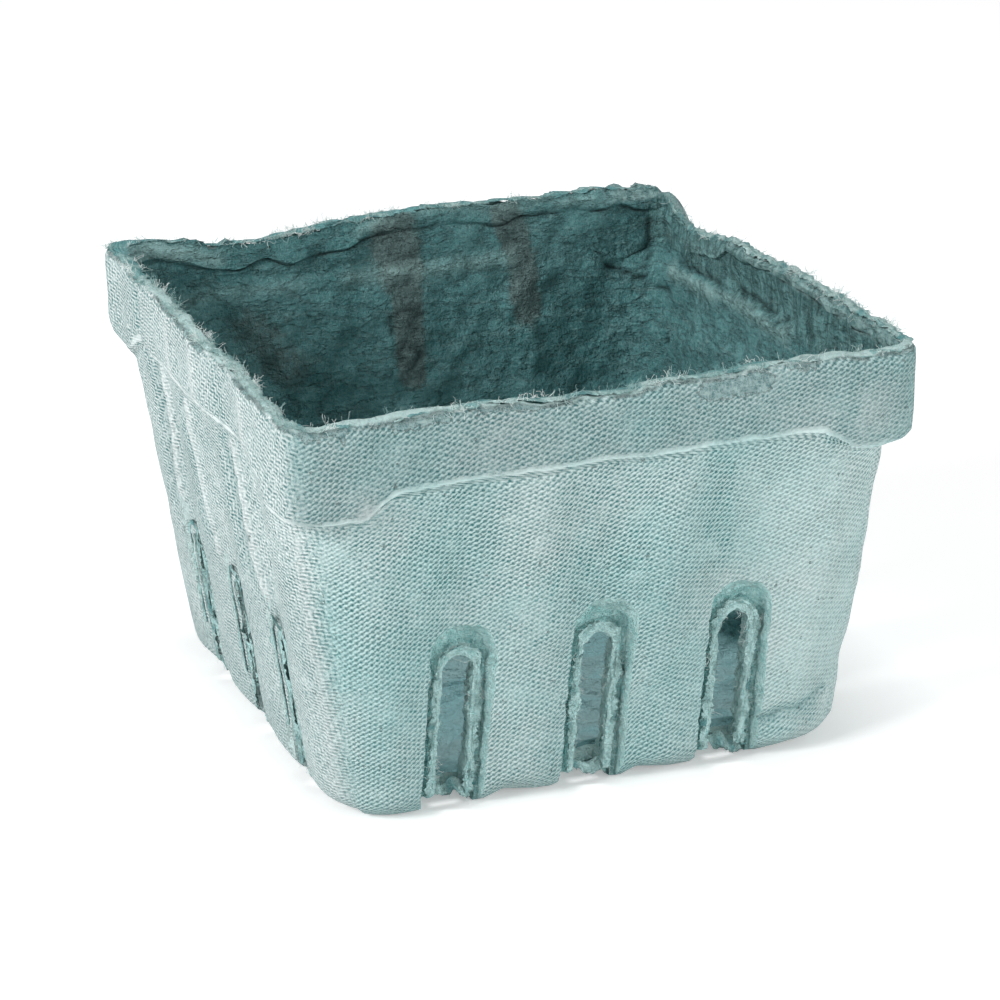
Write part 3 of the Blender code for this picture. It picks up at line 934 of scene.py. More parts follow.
def lip_strips(skin):
    """The torn ply on the lip: one strip reaches over the outside and one over the inside."""
    outer = skin_line(skin, LIP_TOP_KEY)
    inner = skin_line(skin, LIP_TOP_KEY + 2)
    across = outer - inner
    half = np.linalg.norm(across, axis=1) / 2
    up = np.broadcast_to([0, 0, 1], outer.shape)
    middle = (outer + inner) / 2 + up * (LIP_ROUND + LIP_LIFT)
    strips = []
    for sign, seed in ((1, 101), (-1, 131)):
        places = middle + sign * across / 2
        reach = unit(sign * across * (1, 1, 0))
        width = half + OVERHANG + OVERHANG_SWING * ragged(places, seed)
        width = np.clip(width, 0.5 * half, half + 3 * OVERHANG)
        curl = LIP_CURL * np.minimum(ragged(places, seed + 10) - 1, 0)
        strips.append((middle, reach, up, width, curl))
    return strips


SLOT_PLY_DEPTHS = (3.1 * MM, 4.6 * MM)
SLOT_PLY_REACH = 0.05 * MM
SLOT_PLY_SWING = 0.55 * MM
SLOT_PLY_SINK = 0.5 * MM
# In the left wall the plies lie near the skin and nearly close the slots
LEFT_PLY_DEPTHS = (1.5 * MM, 2.8 * MM)
LEFT_PLY_REACHES = (1.7 * MM, 0.5 * MM, 1.8 * MM)
# A third ply lies on the frame and hangs over its outer edge
FRAME_PLY_LIFT = 0.05 * MM
FRAME_PLY_BACK = 0.6 * MM
FRAME_PLY_REACH = 0.35 * MM
LEFT_PLY_END = 10 * MM


def slot_strips():
    """Torn plies that stand into each slot from its edge."""
    strips = []
    for number, (side, frame_matrix, _) in enumerate(wall_frames()):
        turned = np.array(frame_matrix.to_3x3())
        reach_in = LEFT_PLY_REACHES[number % SLOTS_PER_SIDE] if side == LEFT else SLOT_PLY_REACH
        depths = LEFT_PLY_DEPTHS if side == LEFT else SLOT_PLY_DEPTHS
        plies = [(depth, SLOT_HALF + SLOT_PLY_SINK, SLOT_TOP + SLOT_PLY_SINK, 1, reach_in) for depth in depths]
        over_frame = FRAME_DEPTH * RECESS_DEPTH_SHARES[side] - FRAME_PLY_LIFT
        plies.append((over_frame, FRAME_HALF - FRAME_PLY_BACK, FRAME_TOP - FRAME_PLY_BACK, -1, FRAME_PLY_REACH))
        for depth, half, top, sign, reach_in in plies:
            low = LEFT_PLY_END if side == LEFT and sign < 0 else FLOOR
            flat = np.array(divided(arch_outline(half, top, low), 0.5 * MM))
            line = placed(frame_matrix, flat[:, 0], np.full(len(flat), depth), flat[:, 1])
            centre = np.stack([np.zeros(len(flat)), np.minimum(flat[:, 1], SLOT_TOP - SLOT_HALF)], axis=1)
            inward = sign * unit(centre - flat)
            reach = np.stack([inward[:, 0], np.zeros(len(flat)), inward[:, 1]], axis=1) @ turned.T
            up = np.broadcast_to(turned @ (0, -1, 0), line.shape)
            seed = 200 + 20 * number + round(depth / MM)
            swing = np.clip(SLOT_PLY_SWING * ragged(line, seed), -reach_in, 1.4 * MM)
            width = SLOT_PLY_SINK + reach_in + swing
            curl = 0.4 * MM * ragged(line, seed + 7)
            strips.append((line, reach, up, width, curl))
    return strips


SILL_COLUMNS = 60
SILL_HALF = 3.6 * MM
SILL_HEIGHT = 4 * MM
SILL_DEPTH = 4.6 * MM
SILL_REACH = 2.7 * MM
SILL_SWING = 0.5 * MM
SILL_SKEW = 1.1 * MM
SIDE_SILL_SHARE = 0.5


def sill_strips():
    """The torn flap that hangs over the floor's edge at the foot of each slot."""
    strips = []
    for number, (side, _, place) in enumerate(wall_frames()):
        turned = np.array(place.to_3x3())
        across = np.linspace(-SILL_HALF, SILL_HALF, SILL_COLUMNS)
        size = 1 if side == FRONT else SIDE_SILL_SHARE
        bow = SILL_HEIGHT + 0.5 * MM * waves(across[:, None] * (1, 0, 0), 4 * MM, 400 + number)
        line = placed(place, across, np.full(SILL_COLUMNS, SILL_DEPTH - FOOT_WIDTH / 2), bow)
        down = unit(np.array([[0, -1, -0.75]]) @ turned.T)
        reach = np.repeat(down, SILL_COLUMNS, axis=0)
        up = np.repeat(unit(np.array([[0, -0.75, 1]]) @ turned.T), SILL_COLUMNS, axis=0)
        skew = SILL_SKEW * across / SILL_HALF
        width = size * np.clip(SILL_REACH + skew + SILL_SWING * ragged(line, 420 + number), 0.8 * MM, 5.2 * MM)
        curl = 0.45 * MM * ragged(line, 450 + number)
        strips.append((line, reach, up, width, curl))
    return strips


def fringe_mesh(strips, closed, thick_share):
    """Narrow faces along the strips' torn edges for the fibres to grow from, with a share of fuzz."""
    verts, faces, fuzz = [], [], []
    for number, (line, reach, up, width, curl) in enumerate(strips):
        edge = line + reach * (width * 0.8)[:, None] + up * (curl * 0.64)[:, None]
        lean = unit(reach + up * thick_share)
        side = unit(np.cross(lean, np.gradient(line, axis=0)))
        offset, columns = len(verts), len(line)
        verts += (edge - side * STRIP_THICK / 2).tolist() + (edge + side * STRIP_THICK / 2).tolist()
        tufts = np.clip(0.35 + 0.7 * waves(line, 9 * MM, 300 + number) + 0.5 * waves(line, 2.5 * MM, 330 + number), 0.03, 2)
        fuzz += np.concatenate([tufts, tufts]).tolist()
        for j in range(columns if closed else columns - 1):
            after = (j + 1) % columns
            faces.append((offset + j, offset + after, offset + columns + after, offset + columns + j))
    mesh = bpy.data.meshes.new("fringe")
    mesh.from_pydata(verts, [], faces)
    mesh.attributes.new("fuzz", "FLOAT", "POINT").data.foreach_set("value", np.array(fuzz, dtype=np.float32))
    normals = np.array([face.normal[:] for face in mesh.polygons])
    wanted = np.concatenate([unit(r + u * thick_share)[:len(r) if closed else len(r) - 1] for _, r, u, _, _ in strips])
    if (normals * wanted).sum() < 0:
        mesh.flip_normals()
    return mesh


FIBRE_TOP = HEIGHT + 2.2 * MM
FIBRE_POINTS = 6
FIBRE_SIDES = 3


def fibre_tree():
    """Geometry nodes that grow short curved fibres from the faces of a mesh."""
    tree = bpy.data.node_groups.new("loose_fibres", "GeometryNodeTree")
    tree.interface.new_socket("Geometry", in_out="INPUT", socket_type="NodeSocketGeometry")
    for name, kind in (
        ("Density", "NodeSocketFloat"),
        ("Length", "NodeSocketFloat"),
        ("Thickness", "NodeSocketFloat"),
        ("Curl", "NodeSocketFloat"),
        ("Spread", "NodeSocketFloat"),
        ("Top", "NodeSocketFloat"),
        ("Seed", "NodeSocketInt"),
        ("Material", "NodeSocketMaterial"),
    ):
        tree.interface.new_socket(name, in_out="INPUT", socket_type=kind)
    tree.interface.new_socket("Geometry", in_out="OUTPUT", socket_type="NodeSocketGeometry")
    given = add(tree, "NodeGroupInput").outputs
    fuzz = add(tree, "GeometryNodeInputNamedAttribute", {"data_type": "FLOAT"}, {"Name": "fuzz"}).outputs[0]
    density = maths(tree, "MULTIPLY", fuzz, given["Density"])
    scattered = add(tree, "GeometryNodeDistributePointsOnFaces", {"distribute_method": "RANDOM"},
                    {"Mesh": given["Geometry"], "Density": density, "Seed": given["Seed"]}).outputs
    straight = add(tree, "GeometryNodeCurvePrimitiveLine", {}, {"End": (0, 0, 1)}).outputs["Curve"]
    strand = add(tree, "GeometryNodeResampleCurve", {}, {"Curve": straight, "Count": FIBRE_POINTS}).outputs["Curve"]
    spread = add(tree, "FunctionNodeRandomValue", {"data_type": "FLOAT_VECTOR"},
                 {"Min": (-1, -1, -1), "Max": (1, 1, 1), "Seed": given["Seed"]}).outputs["Value"]
    spread = add(tree, "ShaderNodeVectorMath", {"operation": "SCALE"}, {0: spread, "Scale": given["Spread"]}).outputs[0]
    spread = add(tree, "FunctionNodeEulerToRotation", {}, {"Euler": spread}).outputs[0]
    turned = add(tree, "FunctionNodeRotateRotation", {"rotation_space": "LOCAL"},
                 {"Rotation": scattered["Rotation"], "Rotate By": spread}).outputs[0]
    uneven = add(tree, "FunctionNodeRandomValue", {"data_type": "FLOAT"}, {2: 0.0, 3: 1.0, "Seed": given["Seed"]}).outputs[1]
    uneven = maths(tree, "ADD", maths(tree, "POWER", uneven, 2.0), 0.25)
    length = maths(tree, "MULTIPLY", uneven, given["Length"])
    grown = add(tree, "GeometryNodeInstanceOnPoints", {},
                {"Points": scattered["Points"], "Instance": strand, "Rotation": turned, "Scale": length}).outputs[0]
    grown = add(tree, "GeometryNodeRealizeInstances", {}, {"Geometry": grown}).outputs[0]
    along = add(tree, "GeometryNodeSplineParameter").outputs["Factor"]
    place = add(tree, "GeometryNodeInputPosition").outputs[0]
    bend = add(tree, "ShaderNodeTexNoise", {}, {"Vector": place, "Scale": 1 / (1.1 * MM), "Detail": 1.0}).outputs["Color"]
    bend = add(tree, "ShaderNodeVectorMath", {"operation": "SUBTRACT"}, {0: bend, 1: (0.5, 0.5, 0.5)}).outputs[0]
    amount = maths(tree, "MULTIPLY", maths(tree, "POWER", along, 1.5), given["Curl"])
    bend = add(tree, "ShaderNodeVectorMath", {"operation": "SCALE"}, {0: bend, "Scale": amount}).outputs[0]
    bent = add(tree, "GeometryNodeSetPosition", {}, {"Geometry": grown, "Offset": bend}).outputs[0]
    height = add(tree, "ShaderNodeSeparateXYZ", {}, {0: place}).outputs["Z"]
    lowered = maths(tree, "MINIMUM", maths(tree, "SUBTRACT", given["Top"], height), 0.0)
    lowered = add(tree, "ShaderNodeCombineXYZ", {}, {"Z": lowered}).outputs[0]
    bent = add(tree, "GeometryNodeSetPosition", {}, {"Geometry": bent, "Offset": lowered}).outputs[0]
    taper = maths(tree, "SUBTRACT", 1.0, maths(tree, "MULTIPLY", along, 0.6))
    bent = add(tree, "GeometryNodeSetCurveRadius", {}, {"Curve": bent, "Radius": taper}).outputs[0]
    section = add(tree, "GeometryNodeCurvePrimitiveCircle", {}, {"Resolution": FIBRE_SIDES, "Radius": given["Thickness"]}).outputs[0]
    solid = add(tree, "GeometryNodeCurveToMesh", {}, {"Curve": bent, "Profile Curve": section, "Fill Caps": True}).outputs[0]
    finished = add(tree, "GeometryNodeSetMaterial", {}, {"Geometry": solid, "Material": given["Material"]}).outputs[0]
    end = tree.nodes.new("NodeGroupOutput")
    tree.links.new(finished, end.inputs[0])
    return tree


def fibres(name, fringe, material, tree, **sizes):
    """A piece of loose fibres grown from the fringe's faces."""
    piece = new_piece(name, fringe, material)
    grown = piece.modifiers.new("fibres", "NODES")
    grown.node_group = tree
    values = {**sizes, "Material": material, "Top": FIBRE_TOP}
    for item in tree.interface.items_tree:
        if item.in_out == "INPUT" and item.name in values:
            grown[item.identifier] = values[item.name]
    applied(piece)
    return piece


# Short ways to add shader nodes and join them
def add(tree, kind, settings=None, inputs=None):
    """A new node. Each input is a number, a colour or another node's socket."""
    node = tree.nodes.new(kind)
    for name, value in (settings or {}).items():
        setattr(node, name, value)
    for name, value in (inputs or {}).items():
        if isinstance(value, bpy.types.NodeSocket):
            tree.links.new(value, node.inputs[name])
        else:
            node.inputs[name].default_value = value
    return node


def maths(tree, operation, first, second=0.0, clamp=False):
    settings = {"operation": operation, "use_clamp": clamp}
    return add(tree, "ShaderNodeMath", settings, {0: first, 1: second}).outputs[0]


def vector(tree, operation, first, second):
    return add(tree, "ShaderNodeVectorMath", {"operation": operation}, {0: first, 1: second}).outputs[0]


def blended(tree, share, first, second):
    """A value between the first, where the share is nought, and the second, where it is one."""
    return maths(tree, "ADD", first, maths(tree, "MULTIPLY", share, maths(tree, "SUBTRACT", second, first)))


def mixed(tree, share, first, second, blend="MIX"):
    """A colour between two colours."""
    node = add(tree, "ShaderNodeMix", {"data_type": "RGBA", "blend_type": blend})
    for socket, value in (("Factor_Float", share), ("A_Color", first), ("B_Color", second)):
        target = next(s for s in node.inputs if s.identifier == socket)
        if isinstance(value, bpy.types.NodeSocket):
            tree.links.new(value, target)
        else:
            target.default_value = value
    return next(s for s in node.outputs if s.identifier == "Result_Color")


def between(tree, value, low, high, smooth=True):
    """Nought below the low value and one above the high one."""
    kind = "SMOOTHSTEP" if smooth else "LINEAR"
    inputs = {"Value": value, "From Min": low, "From Max": high}
    return add(tree, "ShaderNodeMapRange", {"interpolation_type": kind}, inputs).outputs["Result"]


def noise(tree, vector, size, detail=3.0, roughness=0.5, stretch=None):
    """Smooth noise from nought to one with lumps of about this size, in metres."""
    scale = (1 / size,) * 3
    if stretch:
        scale = tuple(1 / (size * s) for s in stretch)
    scaled = add(tree, "ShaderNodeVectorMath", {"operation": "MULTIPLY"}, {0: vector, 1: scale}).outputs[0]
    inputs = {"Vector": scaled, "Scale": 1.0, "Detail": detail, "Roughness": roughness}
    return add(tree, "ShaderNodeTexNoise", {}, inputs).outputs["Fac"]


def new_group(name, inputs, outputs):
    """A shader node group with its sockets: names and kinds, with a first value for each input."""
    group = bpy.data.node_groups.new(name, "ShaderNodeTree")
    for socket, kind, value in inputs:
        made = group.interface.new_socket(socket, in_out="INPUT", socket_type=kind)
        if value is not None:
            made.default_value = value
    for socket, kind in outputs:
        group.interface.new_socket(socket, in_out="OUTPUT", socket_type=kind)
    start = group.nodes.new("NodeGroupInput")
    end = group.nodes.new("NodeGroupOutput")
    return group, start.outputs, end.inputs


# The woven screen's two basic waves, in cycles per millimetre across and up the wall
SCREEN_RISE = (0.64, -1.15)
SCREEN_FALL = (0.30, 0.98)
# How often each basic wave is in one of the screen's waves, then the strength and the lead in
# degrees of that wave in the tone and in the height of the imprint
SCREEN_WAVES = (
    ((1, 0), (1.0, 0), (1.0, -65)),
    ((0, 1), (0.55, 0), (0.4, 0)),
    ((1, -1), (0.38, 57), (0, 0)),
    ((1, 2), (0.34, -22), (0.4, -90)),
    ((2, 1), (0.26, 169), (0, 0)),
    ((1, 1), (0.21, 123), (0.2, 123)),
)
# The finer waves on the two folded walls, in cycles per millimetre, with their strength
FOLDED_WAVES = (((0.10, 1.30), 0.85), ((0.52, 0.98), 0.35), ((-0.30, 1.62), 0.4), ((0.85, 0.10), 0.45))
FOLDED_GRAIN = 1.6
FOLDED_BLEND = (-4 * MM, 1 * MM)
# How the screen lies uneven: the size of the wander and how far it moves the threads, in millimetres
DRAPES = ((26 * MM, (1.5, 3.0, 0)), (7 * MM, (0.9, 0.9, 0)))


def screen_imprint():
    """The woven screen's imprint: its height, and its tone from nought in the pits to one on the threads."""
    group, inputs, outputs = new_group(
        "screen_imprint",
        (("Surface", "NodeSocketVector", None), ("Place", "NodeSocketVector", None)),
        (("Height", "NodeSocketFloat"), ("Tone", "NodeSocketFloat")),
    )
    millimetres = UV_UNIT / MM
    moved = vector(group, "MULTIPLY", inputs["Surface"], (millimetres,) * 3)
    for length, reach in DRAPES:
        drape_inputs = {"Vector": inputs["Place"], "Scale": 1 / length, "Detail": 1.0}
        drape = add(group, "ShaderNodeTexNoise", {}, drape_inputs).outputs["Color"]
        centred = vector(group, "SUBTRACT", drape, (0.5,) * 3)
        moved = vector(group, "ADD", moved, vector(group, "MULTIPLY", centred, reach))
    tone, height = 0.0, 0.0
    for (rises, falls), toned, raised in SCREEN_WAVES:
        across, up = (rises * rise + falls * fall for rise, fall in zip(SCREEN_RISE, SCREEN_FALL))
        turns = (across * 2 * math.pi, up * 2 * math.pi, 0)
        phase = add(group, "ShaderNodeVectorMath", {"operation": "DOT_PRODUCT"}, {0: moved, 1: turns}).outputs["Value"]
        for total, (strength, lead) in (("tone", toned), ("height", raised)):
            if not strength:
                continue
            wave = maths(group, "COSINE", maths(group, "ADD", phase, math.radians(lead)))
            wave = maths(group, "MULTIPLY", wave, strength)
            if total == "tone":
                tone = maths(group, "ADD", wave, tone)
            else:
                height = maths(group, "ADD", wave, height)
    folded = 0.0
    for (across, up), strength in FOLDED_WAVES:
        turns = (across * 2 * math.pi, up * 2 * math.pi, 0)
        phase = add(group, "ShaderNodeVectorMath", {"operation": "DOT_PRODUCT"}, {0: moved, 1: turns}).outputs["Value"]
        folded = maths(group, "ADD", maths(group, "MULTIPLY", maths(group, "COSINE", phase), strength), folded)
    parts = add(group, "ShaderNodeSeparateXYZ", {}, {0: inputs["Place"]}).outputs
    sideways = maths(group, "SUBTRACT", maths(group, "ABSOLUTE", parts["X"]), maths(group, "ABSOLUTE", parts["Y"]))
    sideways = between(group, sideways, *FOLDED_BLEND)
    sideways = maths(group, "MULTIPLY", sideways, between(group, parts["Z"], 1 * MM, 6 * MM))
    tone = blended(group, sideways, tone, folded)
    height = blended(group, sideways, height, folded)
    pressed = maths(group, "ADD", maths(group, "MULTIPLY", noise(group, inputs["Place"], 8 * MM, 3.0, 0.6), 2.2), -0.1)
    uneven = maths(group, "SUBTRACT", noise(group, inputs["Place"], 0.5 * MM, 2.0, 0.6), 0.5)
    uneven = maths(group, "MULTIPLY", uneven, maths(group, "ADD", maths(group, "MULTIPLY", sideways, FOLDED_GRAIN), 1.0))
    tone = maths(group, "ADD", maths(group, "MULTIPLY", tone, pressed), maths(group, "MULTIPLY", uneven, 2.6))
    height = maths(group, "ADD", maths(group, "MULTIPLY", height, pressed), maths(group, "MULTIPLY", uneven, 1.8))
    group.links.new(between(group, height, -2.2, 2.2, False), outputs["Height"])
    group.links.new(between(group, tone, -1.5, 1.5, False), outputs["Tone"])
    return group


def pulp_felt():
    """Fine fibres lying every way: their height, and a mask of the paler ones."""
    group, inputs, outputs = new_group(
        "pulp_felt",
        (("Place", "NodeSocketVector", None),),
        (("Height", "NodeSocketFloat"), ("Fibres", "NodeSocketFloat")),
    )
    bend = add(group, "ShaderNodeTexNoise", {}, {"Vector": inputs["Place"], "Scale": 1 / (3 * MM), "Detail": 2.0})
    shift = add(group, "ShaderNodeVectorMath", {"operation": "MULTIPLY"}, {0: bend.outputs["Color"], 1: (1.5 * MM,) * 3})
    bent = add(group, "ShaderNodeVectorMath", {"operation": "ADD"}, {0: inputs["Place"], 1: shift.outputs[0]}).outputs[0]
    lines = 0.0
    for stretch in ((6, 1, 1), (1, 6, 1), (1, 1, 6)):
        strand = noise(group, bent, 0.6 * MM, 1.0, 0.5, stretch)
        ridge = maths(group, "ABSOLUTE", maths(group, "SUBTRACT", strand, 0.5))
        lines = maths(group, "MAXIMUM", between(group, ridge, 0.06, 0.0), lines)
    lumps = noise(group, inputs["Place"], 1.3 * MM, 3.0, 0.6)
    height = maths(group, "ADD", lumps, maths(group, "MULTIPLY", lines, 0.3))
    group.links.new(height, outputs["Height"])
    group.links.new(lines, outputs["Fibres"])
    return group


def pulp_cast():
    """Slow drifts of tone over the pulp: nought where it is greyer, one where it is greener."""
    group, inputs, outputs = new_group(
        "pulp_cast",
        (("Place", "NodeSocketVector", None),),
        (("Tone", "NodeSocketFloat"), ("Blotches", "NodeSocketFloat")),
    )
    drift = noise(group, inputs["Place"], 24 * MM, 3.0, 0.55)
    blot = noise(group, inputs["Place"], 5 * MM, 4.0, 0.6)
    group.links.new(between(group, drift, 0.33, 0.67), outputs["Tone"])
    group.links.new(between(group, blot, 0.5, 0.75), outputs["Blotches"])
    return group


GROUPS = {}


def effect(tree, name, inputs):
    """One of the shared effects, placed in a material."""
    makers = {"screen_imprint": screen_imprint, "pulp_felt": pulp_felt, "pulp_cast": pulp_cast}
    if name not in GROUPS:
        GROUPS[name] = makers[name]()
    return add(tree, "ShaderNodeGroup", {"node_tree": GROUPS[name]}, inputs).outputs


def new_material(name, roughness=0.95):
    """A matt material with its tree, its shader and the place on the piece."""
    material = bpy.data.materials.new(name)
    material.use_nodes = True
    tree = material.node_tree
    shader = tree.nodes["Principled BSDF"]
    shader.inputs["Roughness"].default_value = roughness
    shader.inputs["Specular IOR Level"].default_value = 0.2
    place = add(tree, "ShaderNodeTexCoord").outputs["Object"]
    return material, tree, shader, place


def raise_surface(tree, shader, height, distance, normal=None):
    inputs = {"Height": height, "Distance": distance, "Strength": 1.0}
    if normal is not None:
        inputs["Normal"] = normal
    bump = add(tree, "ShaderNodeBump", {}, inputs).outputs["Normal"]
    tree.links.new(bump, shader.inputs["Normal"])
    return bump


LIP_COLOUR = (0.37, 0.53, 0.52, 1)
LIP_DARK = (0.11, 0.19, 0.19, 1)
ROLL_COLOUR = (0.29, 0.44, 0.435, 1)
ROLL_DARK = (0.10, 0.21, 0.21, 1)
LEFT_LIT_THREAD = (0.74, 0.81, 0.805, 1)
THREAD_COLOUR = (0.50, 0.73, 0.72, 1)
THREAD_GREY = (0.57, 0.70, 0.695, 1)
PALE_COLOUR = (0.76, 0.79, 0.785, 1)
PIT_COLOUR = (0.036, 0.165, 0.17, 1)
SLOT_DARK = (0.07, 0.27, 0.27, 1)
SLOT_COLOUR = (0.29, 0.58, 0.57, 1)
SLOT_PALE = (0.50, 0.75, 0.735, 1)
SLOT_FIBRE = (0.60, 0.81, 0.795, 1)
INSIDE_COLOUR = (0.054, 0.178, 0.185, 1)
INSIDE_PALE = (0.135, 0.32, 0.33, 1)
LIT_FLOOR_PULP = (0.44, 0.78, 0.82, 1)
LIT_FLOOR_BROWN = (0.46, 0.71, 0.73, 1)
INSIDE_RIDGE_LIGHT = (0.29, 0.47, 0.46, 1)
MOTTLE_COLOUR = (0.025, 0.085, 0.09, 1)
INSIDE_FIBRE = (0.30, 0.46, 0.45, 1)
STAIN_COLOUR = (0.10, 0.115, 0.105, 1)
# Painted shade for the crack under the lip, the folds, the raked streaks' grooves and the dark marks inside
CREASE_SHADE_COLOUR = (0.012, 0.025, 0.025, 1)
FIBRE_COLOUR = (0.72, 0.80, 0.78, 1)
TORN_COLOUR = (0.23, 0.40, 0.39, 1)
PLY_COLOUR = (0.40, 0.64, 0.63, 1)


RIDGE_WIDTH = 0.8 * MM
PATCH_DARKER = 0.1
CREVICE = 1.5 * MM
CREVICE_SHADE_COLOUR = (0.07, 0.12, 0.12, 1)
PEELED_COLOUR = (0.22, 0.335, 0.335, 1)
PEELED_DARK = (0.09, 0.175, 0.18, 1)
BAND_SHADE_SHARE = 0.37
BAND_SHADE_COLOUR = (0.075, 0.135, 0.14, 1)
LOWER_CALM = 0.25
RAKED_FROM = 50 * MM
RAKED_COLOUR = (0.23, 0.45, 0.44, 1)


def shading_and_stain(tree):
    """The tone of the marks, from nought, dark, to one, pale, much of it painted shade and light, and the stain."""
    surface = add(tree, "ShaderNodeUVMap", {"uv_map": "wear_map"}).outputs["UV"]
    parts = add(tree, "ShaderNodeSeparateXYZ", {}, {0: surface}).outputs
    return parts["X"], parts["Y"]


def plain_bands(tree):
    """One along the band's lower edge and on the lip, where the screen leaves no mark, on the band, which takes
    painted shade, and in the torn crevice below the lip, which takes painted shade."""
    lengths = key_lengths()
    low = (lengths[BAND_EDGE_KEY] - RIDGE_WIDTH / 2) / UV_UNIT
    high = (lengths[BAND_EDGE_KEY] + RIDGE_WIDTH / 2) / UV_UNIT
    lip = lengths[LIP_TOP_KEY] / UV_UNIT
    surface = add(tree, "ShaderNodeUVMap", {"uv_map": "profile_map"}).outputs["UV"]
    place = add(tree, "ShaderNodeTexCoord").outputs["Object"]
    up = add(tree, "ShaderNodeSeparateXYZ", {}, {0: surface}).outputs["Y"]
    wander = maths(tree, "SUBTRACT", noise(tree, place, 3 * MM, 2.0), 0.5)
    up = maths(tree, "ADD", up, maths(tree, "MULTIPLY", wander, 1.6 * MM / UV_UNIT))
    fade = 0.5 * MM / UV_UNIT
    ridge = maths(tree, "MULTIPLY", between(tree, up, low - fade, low), between(tree, up, high + fade, high))
    patchy = between(tree, noise(tree, place, 8 * MM, 2.0), 0.25, 0.6)
    ridge = maths(tree, "MULTIPLY", ridge, maths(tree, "ADD", maths(tree, "MULTIPLY", patchy, 0.55), 0.35))
    crevice = maths(tree, "MULTIPLY", between(tree, up, lip - CREVICE / UV_UNIT, lip - CREVICE / UV_UNIT / 2),
                    between(tree, up, lip + fade, lip))
    crevice = maths(tree, "MULTIPLY", crevice, between(tree, noise(tree, place, 7 * MM, 3.0, 0.6), 0.42, 0.56))
    return ridge, between(tree, up, lip - fade, lip + fade), between(tree, up, low, high), crevice


